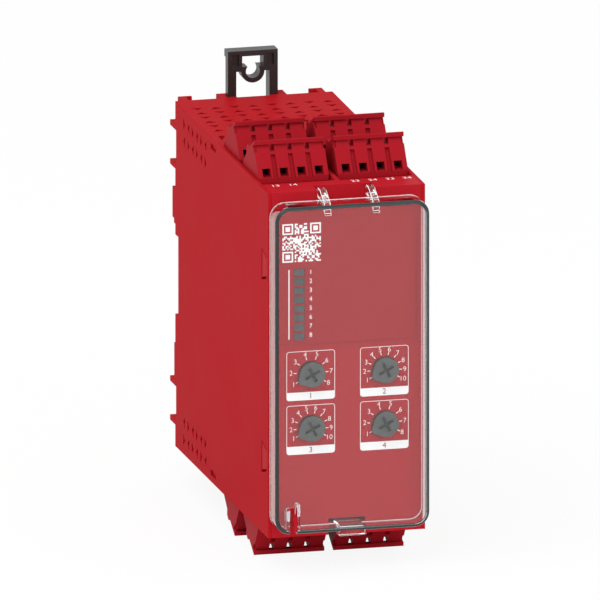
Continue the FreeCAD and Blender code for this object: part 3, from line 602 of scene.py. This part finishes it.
def add_number(shape, text, height, place, thick, align="CENTER", heavy=0.0, turn=None):
    """A number whose front looks along -Y unless turned; place is its middle or left end."""
    capital = 0.72     # a figure's height as a share of the font's size
    curve = bpy.data.curves.new("number", "FONT")
    curve.body = text
    curve.size = height / capital
    curve.align_x = align
    curve.align_y = "CENTER"
    curve.extrude = thick / 2
    curve.offset = heavy
    curve.resolution_u = 3
    holder = add_object("number", curve)
    bpy.context.view_layer.update()
    mesh = bpy.data.meshes.new_from_object(holder)
    if turn is None:
        turn = Matrix.Rotation(math.pi / 2, 4, "X")
    mesh.transform(Matrix.Translation(place) @ turn)
    shape.from_mesh(mesh)
    bpy.data.meshes.remove(mesh)
    bpy.data.objects.remove(holder)
    bpy.data.curves.remove(curve)


def dress(material, *nodes):
    """Gives CAD nodes a finish without touching their shape."""
    for name in nodes:
        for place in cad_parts[name].material_slots:
            place.material = material


def named(start):
    """The CAD nodes whose names start in this way."""
    return [name for name in sorted(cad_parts) if name.startswith(start)]


# -------- operators

class RELAY_OT_shared_effects(bpy.types.Operator):
    """Build the shader groups that the finishes share"""

    bl_idname = "relay.shared_effects"
    bl_label = "Shared Effects"

    def execute(self, context):
        build_moulded_grain()
        build_eased_edge()
        build_recess_shade()
        return {"FINISHED"}


class RELAY_OT_mouldings(bpy.types.Operator):
    """Finish the red housing, front part and plugs"""

    bl_idname = "relay.mouldings"
    bl_label = "Red Mouldings"

    def execute(self, context):
        tints = context.scene.relay_finishes
        housing = moulded("housing_moulding", tints.housing, rough=0.5, gloss=0.01)
        dress(housing, "main_housing")
        front = moulded("front_moulding", tints.front, rough=0.4, gloss=0.01, depth=0.002,
                        tone=0.03)
        dress(front, "front_cap")
        self.tint_panel(tints)
        plug = moulded("plug_moulding", tints.plug, rough=0.4, gloss=0.01)
        dress(plug, *named("terminal_plug_"))
        return {"FINISHED"}

    def tint_panel(self, tints):
        """Gives the raised panel under the cover its own finish."""
        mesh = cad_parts["front_cap"].data
        panel = moulded("panel_moulding", tints.panel, rough=0.4, gloss=0.02, grain=700.0,
                        depth=0.001, tone=0.02)
        mesh.materials.append(panel)
        limit = raised_face() + PANEL_EDGE
        for face in mesh.polygons:
            if face.center.y < limit:
                face.material_index = 1


class RELAY_OT_rail_grips(bpy.types.Operator):
    """Finish the screw lug and the rail foot"""

    bl_idname = "relay.rail_grips"
    bl_label = "Rail Grips"

    def execute(self, context):
        tints = context.scene.relay_finishes
        black = moulded("grip_moulding", tints.grip, rough=0.38, gloss=0.45, tone=0.2)
        dress(black, "upper_mounting_lug", "rail_foot")
        return {"FINISHED"}


class RELAY_OT_cover(bpy.types.Operator):
    """Mould the hinged clear cover with its arms, tab, tongue and collar"""

    bl_idname = "relay.cover"
    bl_label = "Clear Cover"

    hinge_back = 1.3 * MM      # from the rim back to the hinge line
    top_drop = 3.15 * MM       # from the top of the hinge eyes down to the cover's upper wall
    inner_corner = 0.35 * MM   # rounding inside, round the front face
    tab_depth = 3.2 * MM
    tab_ease = 0.35 * MM
    tab_inset = 0.05 * MM      # its faces lie this far inside the dish's front and wall
    tongue_front = 2.0 * MM    # behind the front face
    tongue_reach = 2.2 * MM    # behind the rim
    tongue_inset = 0.6 * MM    # narrower than the tab by this at each end

    # A hinge arm from the side, in mm behind the front face and above a level:
    # the upper wall, the rib's foot, the upper wall again and the top of the eye
    arm_under = ((7.2, 0.3), (5.8, 0.4))
    arm_rib = ((1.7, 0.6), (1.3, 0.0), (0.8, 0.0), (0.5, 0.5))
    arm_web = ((0.5, -0.6), (1.1, 0.1), (2.4, 0.7))
    arm_crown = ((6.6, -0.1),)
    arm_ease = 0.14 * MM
    pin_root = 1.0 * MM        # from an arm's inner side to the root of its pin, inside the arm

    # The collar round the slot: depths behind the front face, counted in walls of the cover
    collar_front = 0.75
    collar_back = 3.2
    side_back = 3.8            # its two sides, which carry a painted highlight at the back
    slot_back = 4.2
    collar_ease = 0.2 * MM
    side_ease = 0.1 * MM
    side_overlap = 0.1 * MM    # into the slot, which cuts the sides back
    right_low = 3.0 * MM       # from the slot's upper end down to the right side's lower end
    left_low = 4.2 * MM        # and down to the left side's lower and upper end
    left_high = 1.2 * MM

    # The dark line of painted shade round the front face, which is narrow at the upper left
    wide_line = 1.25 * MM
    narrow_line = 1.05 * MM

    hinge_zone = 4.0 * MM      # no face of an arm lies further than this below the upper wall
    sharp_turn = 28.0          # degrees; eased edges turn by more, and rounded ones by less

    CLEAR, EDGE, LIGHT, ARM = range(4)   # the cover's materials, in the order of their slots; the second holds painted shade and the third painted highlight

    def execute(self, context):
        tints = context.scene.relay_finishes
        sizes = context.scene.relay_cover
        low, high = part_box("clear_cover")
        x, y0, z0 = high.x, low.y, low.z + sizes.tab_reach
        z1 = high.z - self.top_drop
        hinge = (y0 + sizes.depth + self.hinge_back, high.z - sizes.eye)
        dish = self.make_dish(sizes, x, y0, z0, z1)
        for side in (-1, 1):
            combine(dish, self.make_arm(sizes, side, y0, z1, hinge), "UNION")
        for make in (self.make_tab, self.make_tongue, self.make_collar):
            combine(dish, make(sizes, y0, z0), "UNION")
        slot = (y0 + self.slot_back * sizes.wall, sizes.slot_top)
        gap = (y0 + sizes.depth + MM, sizes.gap_top)
        for y1, top in (slot, gap):
            tool = block("slot_tool", sizes.slot_left, sizes.slot_right, y0 - MM, y1,
                         z0 - 2 * MM, top)
            combine(dish, tool, "DIFFERENCE")
        self.finish(dish, sizes, x, y0, z0, z1, [
            clear_plastic("clear_cover_plastic", 0.012, tints.cover_clear),
            # Painted shade for the front edge
            clear_plastic("cover_painted_dark_edge_plastic", 0.1, tints.cover_edge, 0.1, 0.25),
            # Painted highlight: opaque white for the rim, collar and arm lines
            moulded("cover_painted_highlight", tints.cover_rim, rough=0.4, tone=0.02, edge=0.0,
                    radius=0.02),
            clear_plastic("cover_arm_plastic", 0.03, tints.cover_clear, bend=1.3),
        ])
        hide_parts("clear_cover")
        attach(dish, "cover")
        return {"FINISHED"}

    def make_dish(self, sizes, x, y0, z0, z1):
        """A shallow dish with rounded corners, closed all round."""
        wall, edge, inner = sizes.wall, sizes.edge, self.inner_corner
        rim = y0 + sizes.depth
        rings = []
        for i in range(5):
            a = math.radians(90 * i / 4)
            inset = wall + inner * (1 - math.sin(a))
            rings.append((inset, y0 + wall + inner * (1 - math.cos(a))))
        rings += [(wall, rim), (wall - sizes.inner_rim, rim), (sizes.bright_rim, rim), (0.0, rim)]
        for i in range(7):
            a = math.radians(90 * i / 6)
            rings.append((edge * (1 - math.cos(a)), y0 + edge * (1 - math.sin(a))))
        shape = bmesh.new()
        loft(shape, [
            [(px, y, pz) for px, pz in rounded_outline(x - inset, z0 + inset, z1 - inset,
                                                       sizes.corner - inset)]
            for inset, y in rings
        ])
        return to_piece("hinged_cover", shape)

    def make_arm(self, sizes, side, y0, z1, hinge):
        """A hinge arm: eye, pin, web over the upper wall and a short rib inside the front."""
        hy, hz = hinge
        foot = z1 - sizes.wall - sizes.arm_drop
        outline = [(hy + sizes.eye * math.sin(math.radians(a)),
                    hz + sizes.eye * math.cos(math.radians(a))) for a in range(0, 181, 15)]
        for points, level in ((self.arm_under, z1), (self.arm_rib, foot), (self.arm_web, z1),
                              (self.arm_crown, hz + sizes.eye)):
            outline += [(y0 + y * MM, level + z * MM) for y, z in points]
        inside, outside = side * sizes.arm_place, side * (sizes.arm_place + sizes.arm_width)
        arm = side_solid("arm_tool", outline, inside, outside, self.arm_ease, 1)
        circle = [(hy + sizes.pin * math.cos(math.radians(a)),
                   hz + sizes.pin * math.sin(math.radians(a))) for a in range(0, 360, 20)]
        root = side * (sizes.arm_place + self.pin_root)
        pin = side_solid("pin_tool", circle, root, outside + side * sizes.pin_reach)
        combine(arm, pin, "UNION")
        return arm

    def make_tab(self, sizes, y0, z0):
        """The finger tab under the lower edge."""
        half = sizes.tab_width / 2
        return block("tab_tool", -half, half, y0 + self.tab_inset, y0 + self.tab_depth,
                     z0 - sizes.tab_reach, z0 + sizes.wall - self.tab_inset, self.tab_ease)

    def make_tongue(self, sizes, y0, z0):
        """The tongue that snaps into the recess under the panel."""
        rim, wall = y0 + sizes.depth, sizes.wall
        root, tip = y0 + self.tongue_front, rim + self.tongue_reach
        half = sizes.tab_width / 2 - self.tongue_inset
        outline = [(root, z0 + wall / 2), (tip, z0 + wall / 2), (tip, z0 + 1.5 * wall),
                   (rim + MM, z0 + 2 * wall), (root, z0 + 2 * wall)]
        return side_solid("tongue_tool", outline, -half, half)

    def make_collar(self, sizes, y0, z0):
        """A block behind the front with two deeper sides, from which the slot leaves a collar."""
        wall, top = sizes.wall, sizes.slot_top
        left, right = sizes.slot_left - sizes.collar, sizes.slot_right + sizes.collar
        front = y0 + self.collar_front * wall
        collar = block("collar_tool", left, right, front, y0 + self.collar_back * wall,
                       z0 + wall / 2, top, self.collar_ease)
        inner_right = sizes.slot_right - self.side_overlap
        inner_left = sizes.slot_left + self.side_overlap
        for x0, x1, low, high in (
            (inner_right, right, top - self.right_low, top + sizes.collar),
            (left, inner_left, top - self.left_low, top - self.left_high),
        ):
            tool = block("collar_side", x0, x1, front, y0 + self.side_back * wall, low, high,
                         self.side_ease)
            combine(collar, tool, "UNION")
        return collar

    def finish(self, dish, sizes, x, y0, z0, z1, materials):
        """Gives each face of the cover its material, and keeps its hard edges sharp."""
        mesh = dish.data
        mesh.materials.clear()
        for material in materials:
            mesh.materials.append(material)
        for face in mesh.polygons:
            face.material_index = self.material_of(face, sizes, x, y0, z0, z1)
        shape = bmesh.new()
        shape.from_mesh(mesh)
        sharpen(shape, self.sharp_turn)
        shape.to_mesh(mesh)
        shape.free()

    def material_of(self, face, sizes, x, y0, z0, z1):
        """Clear wall, front edge in painted shade, line in painted highlight, or hinge arm and tab.
        """
        middle, normal = face.center, face.normal
        wall, near = sizes.wall, 0.001 * MM
        margin = min(x - abs(middle.x), z1 - middle.z, middle.z - z0)   # in from the outline

        # Painted highlight on the rim's outer and inner bands
        if abs(middle.y - (y0 + sizes.depth)) < near:
            if not sizes.bright_rim < margin < wall - sizes.inner_rim:
                return self.LIGHT
        # Painted highlight on the rear faces of the collar's sides
        if normal.y > 0.9 and abs(middle.y - y0 - self.side_back * wall) < near:
            return self.LIGHT

        reach = abs(middle.x) - sizes.arm_place + 0.1 * MM
        span = sizes.arm_width + sizes.pin_reach + 0.2 * MM
        if 0.0 < reach < span and middle.z > z1 - self.hinge_zone:
            # Painted highlight on the arms' bevels and the feet of their ribs
            bevel = 0.2 < abs(normal.x) < 0.98 and normal.y < 0.3
            foot = normal.z < -0.7 and middle.z < z1 - wall - MM
            if bevel or foot:
                return self.LIGHT
            behind = middle.y > y0 + wall + near and middle.z < z1 - wall - near
            if middle.z > z1 + near or behind:
                return self.ARM

        if middle.z < z0 - near:
            return self.ARM
        # Painted shade on the rounding round the front face, outside and inside
        if 0.02 < abs(normal.y) < 0.998 and margin > -near:
            outside = normal.y < 0 and middle.y < y0 + sizes.edge - near
            inside = normal.y > 0 and middle.y < y0 + 1.5 * wall
            if (outside or inside) and self.on_edge(middle, sizes, x, z0, z1):
                return self.EDGE
        return self.CLEAR

    def on_edge(self, place, sizes, x, z0, z1):
        """True on the rounding round the front face, at the corners too."""
        across = max(0.0, abs(place.x) - (x - sizes.corner))
        up = max(0.0, place.z - (z1 - sizes.corner), (z0 + sizes.corner) - place.z)
        line = self.wide_line if place.x > 0 or place.z < 0 else self.narrow_line
        return math.hypot(across, up) > sizes.corner - line


class RELAY_OT_selectors(bpy.types.Operator):
    """Finish the selector knobs and print their dials and frames"""

    bl_idname = "relay.selectors"
    bl_label = "Selectors"

    dials = (("upper_left", 8), ("upper_right", 10), ("lower_left", 10), ("lower_right", 8))
    dial_shift = 0.1 * MM      # a dial lies this far left of its switch's middle
    frame_shift = 0.1 * MM     # and its frame this far left of the dial
    first_angle = 210          # degrees, from the right-hand side, anticlockwise
    sweep = 240
    tick_taper = 0.6           # a tick's outer end, as a share of its inner end
    wide_shift = 0.25 * MM     # a number of two figures stands this much further out
    shade = (0.1 * MM, 0.8 * MM)   # painted shade darkens the cross slots between these depths

    def execute(self, context):
        tints = context.scene.relay_finishes
        sizes = context.scene.relay_print
        knob_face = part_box("selector_knob_upper_left")[0].y
        knob = moulded("knob_moulding", tints.knob, rough=0.45, gloss=0.4, grain=1500.0,
                       depth=0.05, tone=0.35, recess=[knob_face + depth for depth in self.shade])
        dress(knob, *named("selector_knob_"))
        dress(moulded("switch_moulding", linear("1A1A1C")), *named("selector_switch_"))
        face_y = front_face()
        white, red = bmesh.new(), bmesh.new()
        for number, (name, count) in enumerate(self.dials, 1):
            low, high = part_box("selector_switch_" + name)
            x, z = (low.x + high.x) / 2 - self.dial_shift, (low.z + high.z) / 2
            self.print_dial(white, x, z, count, face_y, sizes)
            self.print_frame(white, red, x - self.frame_shift, z, str(number), face_y, sizes)
        print_piece("selector_marks", white, "printed_white", tints.printed)
        print_piece("selector_strip_numbers", red, "printed_red", tints.strip_number)
        return {"FINISHED"}

    def print_dial(self, shape, x, z, count, face_y, sizes):
        """Ticks and figures over two thirds of a turn, from lower left clockwise."""
        for i in range(count):
            angle = math.radians(self.first_angle - self.sweep * i / (count - 1))
            along = Vector((math.cos(angle), math.sin(angle)))
            across = Vector((-along.y, along.x)) * sizes.tick_width / 2
            inner = along * sizes.tick_radius
            outer = along * (sizes.tick_radius + sizes.tick_length)
            tip = across * self.tick_taper
            corners = [inner - across, outer - tip, outer + tip, inner + across]
            add_outline(shape, [(x + c.x, z + c.y) for c in corners], face_y, sizes.ink)
            further = self.wide_shift if i >= 9 else 0.0
            middle = along * (sizes.figure_radius + further)
            place = (x + middle.x, face_y - sizes.ink / 2, z + middle.y)
            add_number(shape, str(i + 1), sizes.figure, place, sizes.ink, heavy=sizes.figure_weight)

    def print_frame(self, white, red, x, z, mark, face_y, sizes):
        """A thin frame with a white strip along its foot and a number on the strip."""
        half, line, corner = sizes.frame_width / 2, sizes.line, sizes.frame_corner
        z1 = z + sizes.frame_top
        z0 = z1 - sizes.frame_height
        outer = rounded_outline(half, z0, z1, corner, 4)
        inner = rounded_outline(half - line, z0 + line, z1 - line, corner - line, 4)
        add_ring(white, [(x + a, b) for a, b in outer], [(x + a, b) for a, b in inner], face_y,
                 sizes.ink)
        level = z0 + sizes.strip_height
        strip = [(a, b) for a, b in inner if b < z0 + corner + 0.01 * MM]
        strip += [(half - line, level), (line - half, level)]
        strip.sort(key=lambda point: math.atan2(point[1] - (z0 + level) / 2, point[0]))
        add_outline(white, [(x + a, b) for a, b in strip], face_y, sizes.ink)
        place = (x, face_y - sizes.ink * 1.5, z0 + sizes.strip_height / 2)
        add_number(red, mark, sizes.strip_figure, place, sizes.ink)


class RELAY_OT_panel_print(bpy.types.Operator):
    """Print the numbers of the status windows and terminals, the rule and the block pattern"""

    bl_idname = "relay.panel_print"
    bl_label = "Panel Print"

    windows = 8
    terminals = (-18.4, -13.4, 4.5, 9.5, 14.5, 19.35)   # mm from the middle
    top_numbers = ("13", "14", "23", "24", "33", "34")
    bottom_numbers = ("1", "2", "11", "12", "21", "22")
    cells = 25                 # blocks along each side of the square pattern
    ringed = 7                 # blocks along each side of a ringed corner
    filled = 54                # percent of the other blocks that are white

    def execute(self, context):
        tints = context.scene.relay_finishes
        sizes = context.scene.relay_print
        window = moulded("smoked_window", tints.window, rough=0.25, gloss=0.3, tone=0.1)
        dress(window, "light_guide")
        dress(moulded("lamp_lens", linear("D8D8D4"), rough=0.3), "status_lights")
        face_y, ink = raised_face(), sizes.ink
        shape = bmesh.new()
        for i in range(self.windows):
            z = sizes.caption_top - sizes.caption_pitch * i
            place = (sizes.caption_left, face_y - ink / 2, z)
            add_number(shape, str(i + 1), sizes.caption, place, ink, align="LEFT")
        half = sizes.rule_width / 2
        add_plate(shape, sizes.rule - half, sizes.rule + half, sizes.rule_low, sizes.rule_high,
                  face_y, ink)
        self.print_blocks(shape, sizes, face_y)
        self.print_terminals(shape, sizes)
        print_piece("panel_marks", shape, "panel_white", tints.printed)
        return {"FINISHED"}

    def print_terminals(self, shape, sizes):
        """Plain numbers on the level strip in front of the plugs, on both ends."""
        y = front_face() + sizes.terminal_back
        strip_y = y - sizes.terminal_back / 2
        heights = [v.co.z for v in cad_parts["front_cap"].data.vertices if v.co.y < strip_y]
        face_up, face_down = Matrix.Identity(4), Matrix.Rotation(math.pi, 4, "X")
        for texts, z, turn in (
            (self.top_numbers, max(heights) + sizes.ink / 2, face_up),
            (self.bottom_numbers, min(heights) - sizes.ink / 2, face_down),
        ):
            for x, text in zip(self.terminals, texts):
                add_number(shape, text, sizes.terminal, (x * MM, y, z), sizes.ink,
                           heavy=sizes.figure_weight, turn=turn)

    def print_blocks(self, shape, sizes, face_y):
        """A square of small blocks, row by row, with touching blocks joined into one plate."""
        x, z, step = sizes.code_left, sizes.code_low, sizes.code_side / self.cells
        for row in range(self.cells):
            run = None
            for column in range(self.cells + 1):
                full = column < self.cells and self.is_full(row, column)
                if full and run is None:
                    run = column
                if not full and run is not None:
                    add_plate(shape, x + run * step, x + column * step, z + row * step,
                              z + (row + 1) * step, face_y, sizes.ink)
                    run = None

    def is_full(self, row, column):
        """True where a block is white: three ringed corners, and elsewhere a plain formula."""
        last, middle = self.cells - self.ringed, self.ringed // 2
        for r0, c0 in ((0, 0), (last, 0), (last, last)):
            r, c = row - r0, column - c0
            if -1 <= r <= self.ringed and -1 <= c <= self.ringed:
                return max(abs(r - middle), abs(c - middle)) in (0, 1, 3)
        mixed = (row * 374761 + column * 668265 + row * column * 97) & 0xFFFF
        mixed = ((mixed ^ (mixed >> 5)) * 2749) & 0xFFFF
        return (mixed ^ (mixed >> 7)) % 100 < self.filled


class RELAY_OT_boards(bpy.types.Operator):
    """Finish the boards and what stands on them"""

    bl_idname = "relay.boards"
    bl_label = "Boards and Parts"

    def execute(self, context):
        dress(circuit_board(), "front_board", "terminal_board_top", "terminal_board_bottom",
              "control_board", "power_board")
        for finish, name, code, rough, nodes in (
            (metal, "tinned_metal", "C9C9C6", 0.3, named("header_pins_")),
            (metal, "spring_metal", "B4B2AC", 0.34, named("plug_clamps_")),
            (metal, "can_metal", "B9BDC2", 0.35, ["capacitors"]),
            (moulded, "header_moulding", "18181A", 0.42, [*named("pin_header_"), "board_link"]),
            (moulded, "relay_moulding", "2C2E33", 0.3, ["relay_upper", "relay_lower"]),
            (moulded, "ferrite_core", "2A2B2D", 0.6, ["transformer_core"]),
            (moulded, "winding_wrap", "C8A53A", 0.4, ["transformer_winding"]),
            (moulded, "fuse_moulding", "202224", 0.42, ["fuse"]),
            (moulded, "chip_moulding", "17181A", 0.5, ["logic_chips"]),
        ):
            dress(finish(name, linear(code), rough), *nodes)
        return {"FINISHED"}


class RELAY_OT_stage(bpy.types.Operator):
    """Set up the floor, the light and the camera"""

    bl_idname = "relay.stage"
    bl_label = "Stage"

    # In metres
    floor_reach = 8.0
    key_place = Vector((-0.7, -0.5, 1.3))
    fill_place = Vector((0.2, -1.6, 0.6))
    lamp_size = 1.2
    lamp_aim = Vector((0.0, -0.05, 0.0))
    camera_aim = Vector((-15.67, -115.99, 23.06)) * MM
    camera_distance = 1.2

    floor_glow = 0.9     # how much of the floor is plain white to the camera

    def execute(self, context):
        stage = context.scene.relay_stage
        self.make_floor()
        self.make_world(stage)
        self.make_lamps(stage)
        self.make_camera(context, stage)
        context.scene.view_settings.view_transform = "Standard"
        return {"FINISHED"}

    def make_floor(self):
        """A wide pale floor under the module that keeps its shadow."""
        reach, z = self.floor_reach, CAD_BOX[0].z
        shape = bmesh.new()
        shape.faces.new([shape.verts.new((x * reach, y * reach, z))
                         for x, y in ((-1, -1), (1, -1), (1, 1), (-1, 1))])
        mat, tree, shader = new_material("pale_floor")
        shader.inputs["Roughness"].default_value = 0.9
        shader.inputs["Specular IOR Level"].default_value = 0.0
        mottle = noise(tree, 6.0, 2.0, 0.5)
        pale = blend_colour(tree, mottle, (0.86, 0.86, 0.86), (0.88, 0.88, 0.88))
        link(tree, pale, shader.inputs["Base Color"])
        glow = tree.nodes.new("ShaderNodeEmission")
        glow.inputs["Strength"].default_value = 1.0
        share = math_node(tree, "MULTIPLY", seen_rays(tree), self.floor_glow)
        blend_shaders(tree, share, shader.outputs[0], glow.outputs[0])
        mesh = take_mesh("floor", shape)
        mesh.materials.append(mat)
        floor = add_object("floor", mesh)

    def make_world(self, stage):
        """A white surround that is plain white to the camera and softer as light."""
        world = bpy.data.worlds.new("white_surround")
        world.use_nodes = True
        bpy.context.scene.world = world
        tree = world.node_tree
        back = tree.nodes["Background"]
        back.inputs["Color"].default_value = (1.0, 1.0, 1.0, 1.0)
        shining = spread(tree, seen_rays(tree), 0.0, 1.0, stage.world_light, 1.0)
        link(tree, shining, back.inputs["Strength"])

    def make_lamps(self, stage):
        """A large lamp above to the left, and one in front."""
        for name, power, place in (
            ("key_lamp", stage.key_light, self.key_place),
            ("fill_lamp", stage.fill_light, self.fill_place),
        ):
            lamp = bpy.data.lights.new(name, "AREA")
            lamp.energy = power
            lamp.size = self.lamp_size
            holder = add_object(name, lamp)
            holder.location = place
            self.point(holder, self.lamp_aim - place)

    def make_camera(self, context, stage):
        """A camera without perspective that has the module in the middle of its view."""
        a, e = stage.azimuth, stage.elevation
        back = Vector((math.sin(a) * math.cos(e), -math.cos(a) * math.cos(e), math.sin(e)))
        data = bpy.data.cameras.new("camera")
        data.type = "ORTHO"
        data.ortho_scale = stage.view_width
        data.clip_start, data.clip_end = 0.01, 30.0
        camera = add_object("camera", data)
        camera.location = self.camera_aim + back * self.camera_distance
        self.point(camera, -back)
        context.scene.camera = camera

    def point(self, holder, direction):
        """Turns a lamp or camera so that it looks in a direction."""
        holder.rotation_mode = "QUATERNION"
        holder.rotation_quaternion = direction.to_track_quat("-Z", "Y")


GROUPS = {
    "relay_finishes": RelayFinishes,
    "relay_cover": RelayCover,
    "relay_print": RelayPrint,
    "relay_stage": RelayStage,
}

OPERATORS = (
    RELAY_OT_shared_effects,
    RELAY_OT_mouldings,
    RELAY_OT_rail_grips,
    RELAY_OT_cover,
    RELAY_OT_selectors,
    RELAY_OT_panel_print,
    RELAY_OT_boards,
    RELAY_OT_stage,
)


class RELAY_PT_sidebar(bpy.types.Panel):
    """Lists the module's pieces and their sizes"""

    bl_idname = "RELAY_PT_sidebar"
    bl_label = "Safety Relay Module"
    bl_space_type = "VIEW_3D"
    bl_region_type = "UI"
    bl_category = "Relay"

    def draw(self, context):
        for kind in OPERATORS:
            self.layout.operator(kind.bl_idname)
        for name in GROUPS:
            group = getattr(context.scene, name)
            box = self.layout.box()
            for key in group.__annotations__:
                box.prop(group, key)


CLASSES = (*GROUPS.values(), *OPERATORS, RELAY_PT_sidebar)


def register():
    """Registers the classes and gives the scene its sizes and colours."""
    for kind in CLASSES:
        bpy.utils.register_class(kind)
    for name, kind in GROUPS.items():
        setattr(bpy.types.Scene, name, bpy.props.PointerProperty(type=kind))


def unregister():
    """Takes both away again."""
    for name in GROUPS:
        delattr(bpy.types.Scene, name)
    for kind in reversed(CLASSES):
        bpy.utils.unregister_class(kind)


def main():
    """Builds every piece in order."""
    register()
    bpy.ops.relay.shared_effects()
    bpy.ops.relay.mouldings()
    bpy.ops.relay.rail_grips()
    bpy.ops.relay.cover()
    bpy.ops.relay.selectors()
    bpy.ops.relay.panel_print()
    bpy.ops.relay.boards()
    bpy.ops.relay.stage()


if __name__ == "__main__":
    main()
